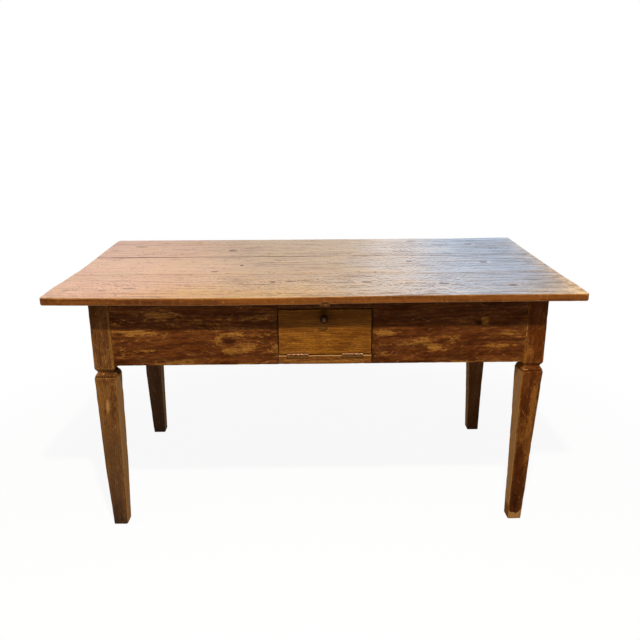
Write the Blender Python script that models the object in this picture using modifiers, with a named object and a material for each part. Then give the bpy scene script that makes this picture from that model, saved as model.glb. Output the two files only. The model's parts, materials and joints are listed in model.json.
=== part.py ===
"""Country kitchen work table, used as an island.

Three planks lie on a pegged mortise and tenon frame with square tapered legs. The front apron holds a
drop flap on two butt hinges, which closes a small compartment and is held by a turning knob latch.

Metres, +Z up, front towards -Y. The origin is on the floor, under the middle of the top.
"""

import math

import bmesh
import bpy
from mathutils import Matrix, Vector

# Table top
TABLE_HEIGHT = 0.800
TOP_LENGTH = 1.595
TOP_THICKNESS = 0.023
FRONT_BOARD_WIDTH = 0.274
MIDDLE_BOARD_WIDTH = 0.255
BACK_BOARD_WIDTH = 0.331
BOARD_JOINT = 0.0008
TOP_ARRIS = 0.0025

# Base: how far the top hangs over the leg blocks, and how far the base stands off the middle of the top
END_OVERHANG = 0.1065
SIDE_OVERHANG = 0.0648
BASE_SHIFT = 0.011

# Legs: square block, V neck, flared shoulder with a small quirk, then a taper to the foot
LEG_STOCK = 0.062
LEG_COLLAR = 0.067
LEG_FOOT = 0.041
LEG_ARRIS = 0.002
BLOCK_DROP = 0.001
NECK_WIDTH = 0.048
NECK_RISE = 0.013
SHOULDER_FALL = 0.020
QUIRK_DEPTH = 0.0012
QUIRK_RISE = 0.0055
FRONT_RIGHT_LEAN = -0.012

# Aprons and their joints
APRON_HEIGHT = 0.213
APRON_THICKNESS = 0.020
APRON_SETBACK = 0.0015
APRON_ARRIS = 0.0015
TENON_THICKNESS = 0.009
TENON_LENGTH = 0.036
TENON_SHOULDER = 0.012
PEG_DIAMETER = 0.009
PEG_LENGTH = 0.031
PEG_INSET = 0.014
PEG_FROM_EDGE = 0.061
PEG_PROUD = 0.0008
PEG_SIDES = 10

# Opening in the front apron and the rails above and below it
FLAP_OFFSET = 0.016
OPENING_WIDTH = 0.2845
RAIL_BELOW = 0.033
RAIL_ABOVE = 0.035
STUB_LENGTH = 0.012
STUB_THICKNESS = 0.008
STUB_SHOULDER = 0.006

# Flap
FLAP_THICKNESS = 0.023
FLAP_SIDE_GAP = 0.002
FLAP_SWING_CLEARANCE = 0.0009
FLAP_BACK_BEVEL = 0.004
FLAP_ARRIS = 0.0012

# Butt hinges along the lower edge of the flap
HINGE_LENGTH = 0.065
HINGE_INSET = 0.024
HINGE_GAP = 0.0016
KNUCKLE_COUNT = 5
KNUCKLE_PLAY = 0.0004
BARREL_RADIUS = 0.0033
PIN_RADIUS = 0.0015
PIN_TIP = 0.0012
LEAF_THICKNESS = 0.0016
LEAF_DEPTH = 0.015
ROUND_SIDES = 16

# Knob latch: a turned knob, a round spindle with a square tail, a tongue and its cross pin
KNOB_RADIUS = 0.0125
KNOB_CROWN = 0.0085
KNOB_PROJECTION = 0.027
KNOB_NECK_RADIUS = 0.0065
KNOB_BASE_RADIUS = 0.0085
KNOB_DROP = 0.024
KNOB_OFFSET = -0.0035
KNOB_SIDES = 24
KNOB_HEAD_STEPS = 9
KNOB_UNDERCUT_DEGREES = 55
SPINDLE_RADIUS = 0.0058
TAIL_SIDE = 0.0078
TAIL_END = 0.004
TONGUE_WIDTH = 0.018
TONGUE_THICKNESS = 0.010
TONGUE_LAP = 0.016
TONGUE_HEEL = 0.012
TONGUE_GAP = 0.0007
TONGUE_ARRIS = 0.002
CROSS_PIN_RADIUS = 0.00125
CROSS_PIN_LENGTH = 0.017

# Compartment behind the flap, and the battens under the top
STOP_LIP = 0.007
COMPARTMENT_DEPTH = 0.450
COMPARTMENT_BOARD = 0.014
PANEL_THICKNESS = 0.012
DADO_DEPTH = 0.005
FLOOR_STEP = 0.001
SIDE_BELOW_FLOOR = 0.010
BATTEN_WIDTH = 0.045
BATTEN_HEIGHT = 0.030
BATTEN_FROM_MIDDLE = 0.400
BATTEN_ARRIS = 0.005

# Clearance between pieces that touch on the real table
FIT = 0.0003

# Levels and planes that several pieces share
TOP_UNDERSIDE = TABLE_HEIGHT - TOP_THICKNESS
FRAME_TOP = TOP_UNDERSIDE - FIT
APRON_BOTTOM = FRAME_TOP - APRON_HEIGHT
TOP_DEPTH = FRONT_BOARD_WIDTH + MIDDLE_BOARD_WIDTH + BACK_BOARD_WIDTH + 2 * BOARD_JOINT
BASE_LENGTH = TOP_LENGTH - 2 * END_OVERHANG
BASE_DEPTH = TOP_DEPTH - 2 * SIDE_OVERHANG
LEG_X = BASE_LENGTH / 2 - LEG_STOCK / 2
LEG_Y = BASE_DEPTH / 2 - LEG_STOCK / 2
APRON_FACE = BASE_DEPTH / 2 - APRON_SETBACK
APRON_INSIDE = APRON_FACE - APRON_THICKNESS
END_FACE = BASE_LENGTH / 2 - APRON_SETBACK
INNER_LEG_X = LEG_X - LEG_STOCK / 2 - FIT
INNER_LEG_Y = LEG_Y - LEG_STOCK / 2 - FIT

OPENING_X = BASE_SHIFT + FLAP_OFFSET
OPENING_LEFT = OPENING_X - OPENING_WIDTH / 2
OPENING_RIGHT = OPENING_X + OPENING_WIDTH / 2
OPENING_BOTTOM = APRON_BOTTOM + RAIL_BELOW
OPENING_TOP = FRAME_TOP - RAIL_ABOVE

FLAP_BACK = -APRON_INSIDE - FIT
FLAP_FRONT = FLAP_BACK - FLAP_THICKNESS
FLAP_BOTTOM = OPENING_BOTTOM + HINGE_GAP
FLAP_LEFT = OPENING_LEFT + FLAP_SIDE_GAP
FLAP_RIGHT = OPENING_RIGHT - FLAP_SIDE_GAP

HINGE_AXIS = Vector((
    OPENING_X,
    min(FLAP_FRONT, -APRON_FACE) - BARREL_RADIUS - FIT,
    OPENING_BOTTOM + HINGE_GAP / 2,
))
LEAF_FRONT = HINGE_AXIS.y + BARREL_RADIUS + KNUCKLE_PLAY
LEAF_BACK = -APRON_FACE + LEAF_DEPTH

# The flap is as tall as its back edge can be while it swings out under the upper rail.
SWING_RADIUS = OPENING_TOP - HINGE_AXIS.z - FLAP_SWING_CLEARANCE
SWING_DEPTH = FLAP_BACK - FLAP_BACK_BEVEL - HINGE_AXIS.y
FLAP_TOP = HINGE_AXIS.z + math.sqrt(SWING_RADIUS**2 - SWING_DEPTH**2)

LATCH_AXIS = Vector((OPENING_X + KNOB_OFFSET, FLAP_FRONT, FLAP_TOP - KNOB_DROP))
TONGUE_REACH = OPENING_TOP - LATCH_AXIS.z + TONGUE_LAP
TONGUE_FRONT = FLAP_BACK + TONGUE_GAP
TONGUE_BACK = TONGUE_FRONT + TONGUE_THICKNESS
CROSS_PIN_Y = TONGUE_BACK + FIT + CROSS_PIN_RADIUS
TAIL_BACK = CROSS_PIN_Y + CROSS_PIN_RADIUS + TAIL_END

COMPARTMENT_LEFT = OPENING_LEFT + STOP_LIP
COMPARTMENT_RIGHT = OPENING_RIGHT - STOP_LIP
FLOOR_TOP = OPENING_BOTTOM - FLOOR_STEP
FLOOR_BOTTOM = FLOOR_TOP - PANEL_THICKNESS
BOARD_FRONT = -APRON_INSIDE + FIT
BACK_PANEL_FRONT = BOARD_FRONT + COMPARTMENT_DEPTH
BACK_PANEL_BACK = BACK_PANEL_FRONT + PANEL_THICKNESS

# Finishes: colour, roughness, metallic
TOP_WOOD = ((0.42, 0.22, 0.09), 0.42, 0.0)
FRAME_WOOD = ((0.16, 0.065, 0.020), 0.55, 0.0)
FLAP_WOOD = ((0.24, 0.105, 0.030), 0.50, 0.0)
INNER_WOOD = ((0.36, 0.21, 0.10), 0.75, 0.0)
PEG_WOOD = ((0.20, 0.090, 0.030), 0.60, 0.0)
KNOB_WOOD = ((0.09, 0.045, 0.020), 0.45, 0.0)
IRON = ((0.20, 0.15, 0.11), 0.45, 0.9)


def clear_scene():
    for obj in list(bpy.data.objects):
        bpy.data.objects.remove(obj, do_unlink=True)


def new_collection(name):
    collection = bpy.data.collections.new(name)
    bpy.context.scene.collection.children.link(collection)
    return collection


clear_scene()
PARTS = new_collection("kitchen_work_table")
CUTTERS = new_collection("cutters")


def axis_empty(name, place, parent=None):
    """Empty that carries the pieces which turn together about one axis."""
    empty = bpy.data.objects.new(name, None)
    empty.empty_display_size = 0.05
    empty.location = place - (parent.matrix_world.translation if parent else Vector())
    empty.parent = parent
    PARTS.objects.link(empty)
    bpy.context.view_layer.update()
    return empty


def mesh_object(name, bm, place):
    mesh = bpy.data.meshes.new(name)
    bm.to_mesh(mesh)
    bm.free()
    obj = bpy.data.objects.new(name, mesh)
    obj.location = place
    CUTTERS.objects.link(obj)
    obj.hide_render = True
    obj.display_type = "WIRE"
    return obj


def box(name, low, high):
    """Box between two corners, with its origin at its middle."""
    low, high = Vector(low), Vector(high)
    bm = bmesh.new()
    bmesh.ops.create_cube(bm, size=1.0)
    bmesh.ops.scale(bm, vec=high - low, verts=bm.verts)
    return mesh_object(name, bm, (low + high) / 2)


def rod(name, start, along, length, radius, sides):
    """Round rod from a point along +X, +Y or +Z."""
    turn = {"X": (0, math.pi / 2, 0), "Y": (-math.pi / 2, 0, 0), "Z": (0, 0, 0)}[along]
    bm = bmesh.new()
    bmesh.ops.create_cone(
        bm, cap_ends=True, segments=sides, radius1=radius, radius2=radius, depth=length
    )
    bmesh.ops.translate(bm, vec=(0, 0, length / 2), verts=bm.verts)
    obj = mesh_object(name, bm, Vector(start))
    obj.rotation_euler = turn
    return obj


def revolved(name, profile, steps):
    """Profile of (radius, height) points, top first, swept round its own Z axis."""
    mesh = bpy.data.meshes.new(name)
    points = [(radius, 0, height) for radius, height in profile]
    mesh.from_pydata(points, [(i, i + 1) for i in range(len(points) - 1)], [])
    obj = bpy.data.objects.new(name, mesh)
    CUTTERS.objects.link(obj)
    obj.hide_render = True
    obj.display_type = "WIRE"
    screw = obj.modifiers.new("sweep", "SCREW")
    screw.steps = steps
    screw.render_steps = steps
    screw.use_merge_vertices = True
    screw.merge_threshold = 0.0001
    screw.use_smooth_shade = False
    return obj


def boolean(obj, other, operation):
    modifier = obj.modifiers.new(f"{operation.lower()}_{other.name}", "BOOLEAN")
    modifier.operation = operation
    modifier.solver = "EXACT"
    modifier.object = other


def cut(obj, *cutters):
    for cutter in cutters:
        boolean(obj, cutter, "DIFFERENCE")


def fuse(obj, *others):
    for other in others:
        boolean(obj, other, "UNION")


def soften(obj, width, segments=1, least_angle=60):
    bevel = obj.modifiers.new("arris", "BEVEL")
    bevel.width = width
    bevel.segments = segments
    bevel.limit_method = "ANGLE"
    bevel.angle_limit = math.radians(least_angle)


def finish(obj, look, carrier):
    """Makes a helper into a named part: its own material, the parts collection and its carrier."""
    colour, roughness, metallic = look
    material = bpy.data.materials.new(f"{obj.name}_finish")
    material.use_nodes = True
    shader = material.node_tree.nodes["Principled BSDF"]
    shader.inputs["Base Color"].default_value = (*colour, 1.0)
    shader.inputs["Roughness"].default_value = roughness
    shader.inputs["Metallic"].default_value = metallic
    obj.data.materials.append(material)
    CUTTERS.objects.unlink(obj)
    PARTS.objects.link(obj)
    obj.hide_render = False
    obj.display_type = "TEXTURED"
    obj.location -= carrier.matrix_world.translation
    obj.parent = carrier
    return obj


def table_top(frame):
    """Three planks, front to back, with their top arrises eased."""
    near = -TOP_DEPTH / 2
    widths = {
        "top_board_front": FRONT_BOARD_WIDTH,
        "top_board_middle": MIDDLE_BOARD_WIDTH,
        "top_board_back": BACK_BOARD_WIDTH,
    }
    for name, width in widths.items():
        board = box(
            name,
            (-TOP_LENGTH / 2, near, TOP_UNDERSIDE),
            (TOP_LENGTH / 2, near + width, TABLE_HEIGHT),
        )
        soften(board, TOP_ARRIS, segments=2)
        finish(board, TOP_WOOD, frame)
        near += width + BOARD_JOINT


def leg_profile():
    """Half diagonal and height of each ring of a leg, from the top of the block to the foot."""
    block_bottom = APRON_BOTTOM - BLOCK_DROP
    neck = block_bottom - NECK_RISE
    shoulder = neck - SHOULDER_FALL
    collar = shoulder - QUIRK_RISE
    shoulder_width = LEG_COLLAR - 2 * QUIRK_DEPTH
    rings = [
        (0, FRAME_TOP),
        (LEG_STOCK, FRAME_TOP),
        (LEG_STOCK, block_bottom),
        (NECK_WIDTH, neck),
        (shoulder_width, shoulder),
        (shoulder_width - 2 * QUIRK_DEPTH, shoulder - QUIRK_DEPTH),
        (LEG_COLLAR, collar),
        (LEG_FOOT, 0),
        (0, 0),
    ]
    return [(width / math.sqrt(2), height) for width, height in rings], collar


def leg_blank(name, place, lean):
    """Four sided sweep of the leg profile, its taper leaning sideways by `lean` at the foot."""
    profile, collar = leg_profile()
    sweep = revolved(f"sweep_{name}", profile, steps=4)
    bpy.context.view_layer.update()
    swept = sweep.evaluated_get(bpy.context.evaluated_depsgraph_get())
    bm = bmesh.new()
    bm.from_mesh(swept.to_mesh())
    swept.to_mesh_clear()
    bpy.data.objects.remove(sweep, do_unlink=True)
    squared = Matrix.Rotation(math.radians(45), 3, "Z")
    bmesh.ops.rotate(bm, matrix=squared, verts=bm.verts)
    for vertex in bm.verts:
        vertex.co.x += lean * max(0.0, 1 - vertex.co.z / collar)
    leg = mesh_object(name, bm, place)
    soften(leg, LEG_ARRIS)
    return leg


def tenon_box(name, low, high, grow, open_end):
    """Tenon, or with `grow` the mortise that takes it; `open_end` lengthens it into its own board."""
    low, high = Vector(low), Vector(high)
    for i in range(3):
        low[i] -= grow
        high[i] += grow
    axis, sign = open_end
    if sign > 0:
        high[axis] += APRON_THICKNESS
    else:
        low[axis] -= APRON_THICKNESS
    return box(name, low, high)


def frame_joint(leg, apron, corner, face, sx, sy, frame):
    """One pegged mortise and tenon between a leg and an apron.

    `face` is front for the long aprons, whose tenons run along X, and end for the short ones along Y.
    """
    along, across = (0, 1) if face == "front" else (1, 0)
    signs = (sx, sy)
    shoulder = (INNER_LEG_X, INNER_LEG_Y)[along]
    outside = (END_FACE, APRON_FACE)[across]
    middle = (BASE_SHIFT, 0.0)
    low = Vector((0, 0, APRON_BOTTOM + TENON_SHOULDER))
    high = Vector((0, 0, FRAME_TOP - TENON_SHOULDER))
    run = sorted((signs[along] * shoulder, signs[along] * (shoulder + TENON_LENGTH)))
    centre = signs[across] * (outside - APRON_THICKNESS / 2)
    low[along], high[along] = middle[along] + run[0], middle[along] + run[1]
    low[across] = middle[across] + centre - TENON_THICKNESS / 2
    high[across] = middle[across] + centre + TENON_THICKNESS / 2
    inward = (along, -signs[along])
    label = f"{corner}_{face}"
    fuse(apron, tenon_box(f"tenon_{label}", low, high, 0.0, inward))
    cut(leg, tenon_box(f"mortise_{label}", low, high, FIT, inward))

    leg_face = (BASE_LENGTH / 2, BASE_DEPTH / 2)[across]
    start = Vector((0, 0, 0))
    start[along] = middle[along] + signs[along] * (shoulder + FIT + PEG_INSET)
    reach = PEG_LENGTH - PEG_PROUD
    levels = {"lower": APRON_BOTTOM + PEG_FROM_EDGE, "upper": FRAME_TOP - PEG_FROM_EDGE}
    for level, height in levels.items():
        start.z = height
        inner = middle[across] + signs[across] * (leg_face - reach)
        outer = middle[across] + signs[across] * (leg_face + PEG_PROUD)
        start[across] = min(inner, outer)
        name = f"peg_{label}_{level}"
        peg = rod(name, start, "XY"[across], PEG_LENGTH, PEG_DIAMETER / 2, PEG_SIDES)
        finish(peg, PEG_WOOD, frame)
        bore_start = start.copy()
        bore_start[across] -= FIT if signs[across] > 0 else PEG_PROUD
        bore = rod(
            f"bore_{name}",
            bore_start,
            "XY"[across],
            PEG_LENGTH + FIT + PEG_PROUD,
            PEG_DIAMETER / 2 + FIT,
            PEG_SIDES,
        )
        cut(leg, bore)
        cut(apron, bore)


def front_apron():
    """Left and right panels of the front apron, and the rails above and below the opening."""
    left_end = BASE_SHIFT - INNER_LEG_X
    right_end = BASE_SHIFT + INNER_LEG_X
    panels = {
        "left": box(
            "apron_front_left",
            (left_end, -APRON_FACE, APRON_BOTTOM),
            (OPENING_LEFT, -APRON_INSIDE, FRAME_TOP),
        ),
        "right": box(
            "apron_front_right",
            (OPENING_RIGHT, -APRON_FACE, APRON_BOTTOM),
            (right_end, -APRON_INSIDE, FRAME_TOP),
        ),
    }
    for panel in panels.values():
        soften(panel, APRON_ARRIS)
    levels = {
        "flap_rail_top": (OPENING_TOP, FRAME_TOP),
        "flap_rail_bottom": (APRON_BOTTOM, OPENING_BOTTOM),
    }
    rails = {}
    stub_y = -APRON_FACE + APRON_THICKNESS / 2
    for name, (bottom, top) in levels.items():
        rail = box(
            name,
            (OPENING_LEFT + FIT, -APRON_FACE, bottom),
            (OPENING_RIGHT - FIT, -APRON_INSIDE, top),
        )
        soften(rail, APRON_ARRIS)
        for side, edge in {"left": OPENING_LEFT, "right": OPENING_RIGHT}.items():
            sign = -1 if side == "left" else 1
            ends = sorted((edge - sign * FIT, edge + sign * STUB_LENGTH))
            low = (ends[0], stub_y - STUB_THICKNESS / 2, bottom + STUB_SHOULDER)
            high = (ends[1], stub_y + STUB_THICKNESS / 2, top - STUB_SHOULDER)
            inward = (0, -sign)
            fuse(rail, tenon_box(f"stub_{name}_{side}", low, high, 0.0, inward))
            cut(panels[side], tenon_box(f"socket_{name}_{side}", low, high, FIT, inward))
        rails[name] = rail
    return panels, rails


def frame_and_legs(frame):
    """Legs, aprons and the pegged joints between them. Returns the rail that carries the hinges."""
    panels, rails = front_apron()
    aprons = {
        ("front", -1): panels["left"],
        ("front", 1): panels["right"],
    }
    back = box(
        "apron_back",
        (BASE_SHIFT - INNER_LEG_X, APRON_INSIDE, APRON_BOTTOM),
        (BASE_SHIFT + INNER_LEG_X, APRON_FACE, FRAME_TOP),
    )
    soften(back, APRON_ARRIS)
    ends = {}
    for side, sx in {"left": -1, "right": 1}.items():
        span = sorted((sx * (END_FACE - APRON_THICKNESS), sx * END_FACE))
        ends[sx] = box(
            f"apron_end_{side}",
            (BASE_SHIFT + span[0], -INNER_LEG_Y, APRON_BOTTOM),
            (BASE_SHIFT + span[1], INNER_LEG_Y, FRAME_TOP),
        )
        soften(ends[sx], APRON_ARRIS)

    legs = []
    for row, sy in {"front": -1, "back": 1}.items():
        for side, sx in {"left": -1, "right": 1}.items():
            corner = f"{row}_{side}"
            lean = FRONT_RIGHT_LEAN if corner == "front_right" else 0.0
            leg = leg_blank(f"leg_{corner}", (BASE_SHIFT + sx * LEG_X, sy * LEG_Y, 0), lean)
            long_apron = aprons.get((row, sx), back)
            frame_joint(leg, long_apron, corner, "front", sx, sy, frame)
            frame_joint(leg, ends[sx], corner, "end", sx, sy, frame)
            legs.append(leg)
    for piece in (*legs, *panels.values(), *rails.values(), back, *ends.values()):
        finish(piece, FRAME_WOOD, frame)
    return rails["flap_rail_bottom"]


def flap_board(carrier):
    """Drop flap, its back upper edge planed off so that it swings clear of the rail."""
    flap = box(
        "flap_board",
        (FLAP_LEFT, FLAP_FRONT, FLAP_BOTTOM),
        (FLAP_RIGHT, FLAP_BACK, FLAP_TOP),
    )
    bm = bmesh.new()
    bm.from_mesh(flap.data)
    back_edge = [
        edge for edge in bm.edges
        if all(vertex.co.y > 0 and vertex.co.z > 0 for vertex in edge.verts)
    ]
    bmesh.ops.bevel(bm, geom=back_edge, offset=FLAP_BACK_BEVEL, segments=1, affect="EDGES")
    bm.to_mesh(flap.data)
    bm.free()
    soften(flap, FLAP_ARRIS)
    spindle_hole = rod(
        "hole_spindle",
        (LATCH_AXIS.x, FLAP_FRONT - FLAP_THICKNESS, LATCH_AXIS.z),
        "Y",
        3 * FLAP_THICKNESS,
        SPINDLE_RADIUS + FIT,
        KNOB_SIDES,
    )
    cut(flap, spindle_hole)
    return finish(flap, FLAP_WOOD, carrier)


def hinge_leaf(name, start, knuckles, bottom, top):
    """Leaf plate between two heights with its share of the knuckles, all bored for the pin."""
    plate = box(name, (start, LEAF_FRONT, bottom), (start + HINGE_LENGTH, LEAF_BACK, top))
    pitch = HINGE_LENGTH / KNUCKLE_COUNT
    for i in knuckles:
        left = start + i * pitch + (KNUCKLE_PLAY / 2 if i > 0 else 0)
        right = start + (i + 1) * pitch - (KNUCKLE_PLAY / 2 if i < KNUCKLE_COUNT - 1 else 0)
        wrap = rod(
            f"wrap_{name}_{i}",
            (left, HINGE_AXIS.y, HINGE_AXIS.z),
            "X",
            right - left,
            BARREL_RADIUS,
            ROUND_SIDES,
        )
        tab = box(
            f"tab_{name}_{i}",
            (left, HINGE_AXIS.y + PIN_RADIUS, bottom),
            (right, LEAF_FRONT + LEAF_THICKNESS, top),
        )
        fuse(plate, tab, wrap)
    bore = rod(
        f"bore_{name}",
        (start - HINGE_LENGTH, HINGE_AXIS.y, HINGE_AXIS.z),
        "X",
        3 * HINGE_LENGTH,
        PIN_RADIUS + FIT,
        ROUND_SIDES,
    )
    cut(plate, bore)
    return plate


def leaf_recess(name, start, bottom, top):
    """Room let into the wood for one leaf, open at the front and at the joint."""
    return box(
        name,
        (start - FIT, min(FLAP_FRONT, -APRON_FACE) - LEAF_DEPTH, bottom),
        (start + HINGE_LENGTH + FIT, LEAF_BACK + FIT, top),
    )


def hinges(rail, flap, frame, flap_carrier):
    """Two butt hinges: the lower leaf and the pin stay with the rail, the upper leaf turns."""
    starts = {
        "left": FLAP_LEFT + HINGE_INSET,
        "right": FLAP_RIGHT - HINGE_INSET - HINGE_LENGTH,
    }
    for side, start in starts.items():
        fixed = hinge_leaf(
            f"hinge_{side}_fixed_leaf",
            start,
            range(0, KNUCKLE_COUNT, 2),
            OPENING_BOTTOM - LEAF_THICKNESS,
            OPENING_BOTTOM,
        )
        turning = hinge_leaf(
            f"hinge_{side}_flap_leaf",
            start,
            range(1, KNUCKLE_COUNT, 2),
            FLAP_BOTTOM,
            FLAP_BOTTOM + LEAF_THICKNESS,
        )
        pin = rod(
            f"hinge_{side}_pin",
            (start - PIN_TIP, HINGE_AXIS.y, HINGE_AXIS.z),
            "X",
            HINGE_LENGTH + 2 * PIN_TIP,
            PIN_RADIUS,
            ROUND_SIDES,
        )
        cut(rail, leaf_recess(
            f"recess_rail_{side}", start, OPENING_BOTTOM - LEAF_THICKNESS - FIT, OPENING_BOTTOM + LEAF_DEPTH
        ))
        cut(flap, leaf_recess(
            f"recess_flap_{side}", start, FLAP_BOTTOM - LEAF_DEPTH, FLAP_BOTTOM + LEAF_THICKNESS + FIT
        ))
        finish(fixed, IRON, frame)
        finish(pin, IRON, frame)
        finish(turning, IRON, flap_carrier)


def knob_profile():
    """Radius and distance from the flap's face: an elliptic head, a waisted neck and a long spindle."""
    crown = KNOB_PROJECTION - KNOB_CROWN
    first = math.radians(90)
    last = -math.radians(KNOB_UNDERCUT_DEGREES)
    head = []
    for i in range(KNOB_HEAD_STEPS + 1):
        angle = first + (last - first) * i / KNOB_HEAD_STEPS
        head.append((KNOB_RADIUS * math.cos(angle), crown + KNOB_CROWN * math.sin(angle)))
    head[0] = (0.0, KNOB_PROJECTION)
    waist = (FIT + head[-1][1]) / 2
    tail = FLAP_FRONT - TONGUE_FRONT + TONGUE_GAP / 2
    return head + [
        (KNOB_NECK_RADIUS, waist),
        (KNOB_BASE_RADIUS, FIT + KNOB_BASE_RADIUS - KNOB_NECK_RADIUS),
        (KNOB_BASE_RADIUS, FIT),
        (SPINDLE_RADIUS, FIT),
        (SPINDLE_RADIUS, tail),
        (0.0, tail),
    ]


def latch(carrier):
    """Turning knob with its spindle, and the tongue that it swings up behind the upper rail."""
    knob = revolved("latch_knob", knob_profile(), KNOB_SIDES)
    knob.location = LATCH_AXIS
    knob.rotation_euler = (math.pi / 2, 0, 0)
    knob.data.shade_smooth()
    half = TAIL_SIDE / 2
    tail = box(
        "tail_square",
        (LATCH_AXIS.x - half, TONGUE_FRONT - FLAP_THICKNESS / 2, LATCH_AXIS.z - half),
        (LATCH_AXIS.x + half, TAIL_BACK, LATCH_AXIS.z + half),
    )
    pin_start = (LATCH_AXIS.x - CROSS_PIN_LENGTH / 2, CROSS_PIN_Y, LATCH_AXIS.z)
    pin_hole = rod(
        "hole_cross_pin", pin_start, "X", CROSS_PIN_LENGTH, CROSS_PIN_RADIUS + FIT, ROUND_SIDES
    )
    fuse(knob, tail)
    cut(knob, pin_hole)

    tongue = box(
        "latch_tongue",
        (LATCH_AXIS.x - TONGUE_WIDTH / 2, TONGUE_FRONT, LATCH_AXIS.z - TONGUE_REACH),
        (LATCH_AXIS.x + TONGUE_WIDTH / 2, TONGUE_BACK, LATCH_AXIS.z + TONGUE_HEEL),
    )
    soften(tongue, TONGUE_ARRIS)
    eye = box(
        "hole_tongue",
        (LATCH_AXIS.x - half - FIT, TONGUE_FRONT - TONGUE_THICKNESS, LATCH_AXIS.z - half - FIT),
        (LATCH_AXIS.x + half + FIT, TONGUE_BACK + TONGUE_THICKNESS, LATCH_AXIS.z + half + FIT),
    )
    cut(tongue, eye)
    cross_pin = rod(
        "latch_cross_pin", pin_start, "X", CROSS_PIN_LENGTH, CROSS_PIN_RADIUS, ROUND_SIDES
    )
    finish(knob, KNOB_WOOD, carrier)
    finish(tongue, INNER_WOOD, carrier)
    finish(cross_pin, IRON, carrier)


def compartment(frame):
    """Two long bearers that stop the flap, with a floor and a back let into dados between them."""
    floor_span = (COMPARTMENT_LEFT - DADO_DEPTH + FIT, COMPARTMENT_RIGHT + DADO_DEPTH - FIT)
    floor = box(
        "compartment_floor",
        (floor_span[0], BOARD_FRONT, FLOOR_BOTTOM),
        (floor_span[1], BACK_PANEL_BACK, FLOOR_TOP),
    )
    back = box(
        "compartment_back",
        (floor_span[0], BACK_PANEL_FRONT, FLOOR_TOP + FIT),
        (floor_span[1], BACK_PANEL_BACK, FRAME_TOP),
    )
    inner_faces = {"left": (COMPARTMENT_LEFT, -1), "right": (COMPARTMENT_RIGHT, 1)}
    for side, (inner, sign) in inner_faces.items():
        span = sorted((inner, inner + sign * COMPARTMENT_BOARD))
        bearer = box(
            f"compartment_side_{side}",
            (span[0], BOARD_FRONT, FLOOR_BOTTOM - SIDE_BELOW_FLOOR),
            (span[1], APRON_INSIDE - FIT, FRAME_TOP),
        )
        groove = sorted((inner - sign * DADO_DEPTH, inner + sign * DADO_DEPTH))
        floor_dado = box(
            f"dado_floor_{side}",
            (groove[0], BOARD_FRONT - COMPARTMENT_BOARD, FLOOR_BOTTOM - FIT),
            (groove[1], BACK_PANEL_BACK + FIT, FLOOR_TOP + FIT),
        )
        back_dado = box(
            f"dado_back_{side}",
            (groove[0], BACK_PANEL_FRONT - FIT, FLOOR_BOTTOM - FIT),
            (groove[1], BACK_PANEL_BACK + FIT, FRAME_TOP + COMPARTMENT_BOARD),
        )
        fuse(floor_dado, back_dado)
        cut(bearer, floor_dado)
        finish(bearer, INNER_WOOD, frame)
    finish(floor, INNER_WOOD, frame)
    finish(back, INNER_WOOD, frame)


def top_battens(frame):
    """Cross battens under the planks, between the front and back aprons."""
    for side, sx in {"left": -1, "right": 1}.items():
        middle = BASE_SHIFT + sx * BATTEN_FROM_MIDDLE
        batten = box(
            f"top_batten_{side}",
            (middle - BATTEN_WIDTH / 2, -APRON_INSIDE + FIT, FRAME_TOP - BATTEN_HEIGHT),
            (middle + BATTEN_WIDTH / 2, APRON_INSIDE - FIT, FRAME_TOP),
        )
        soften(batten, BATTEN_ARRIS)
        finish(batten, INNER_WOOD, frame)


def build():
    frame = axis_empty("table_frame", Vector())
    flap_axis = axis_empty("flap_hinge_axis", HINGE_AXIS, frame)
    latch_axis = axis_empty("latch_axis", LATCH_AXIS, flap_axis)
    table_top(frame)
    rail = frame_and_legs(frame)
    flap = flap_board(flap_axis)
    hinges(rail, flap, frame, flap_axis)
    latch(latch_axis)
    compartment(frame)
    top_battens(frame)


build()
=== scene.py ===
"""Looks of the country kitchen work table.

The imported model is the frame. Planks, legs, aprons, rails, flap, knob, pegs and hinges are worn surfaces
swept along paths, and stand for the plain solids. The boards inside the table keep their solids and get a
bare finish. Metres, +Z up, front towards -Y.
"""

import json
import math
from collections import namedtuple

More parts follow.
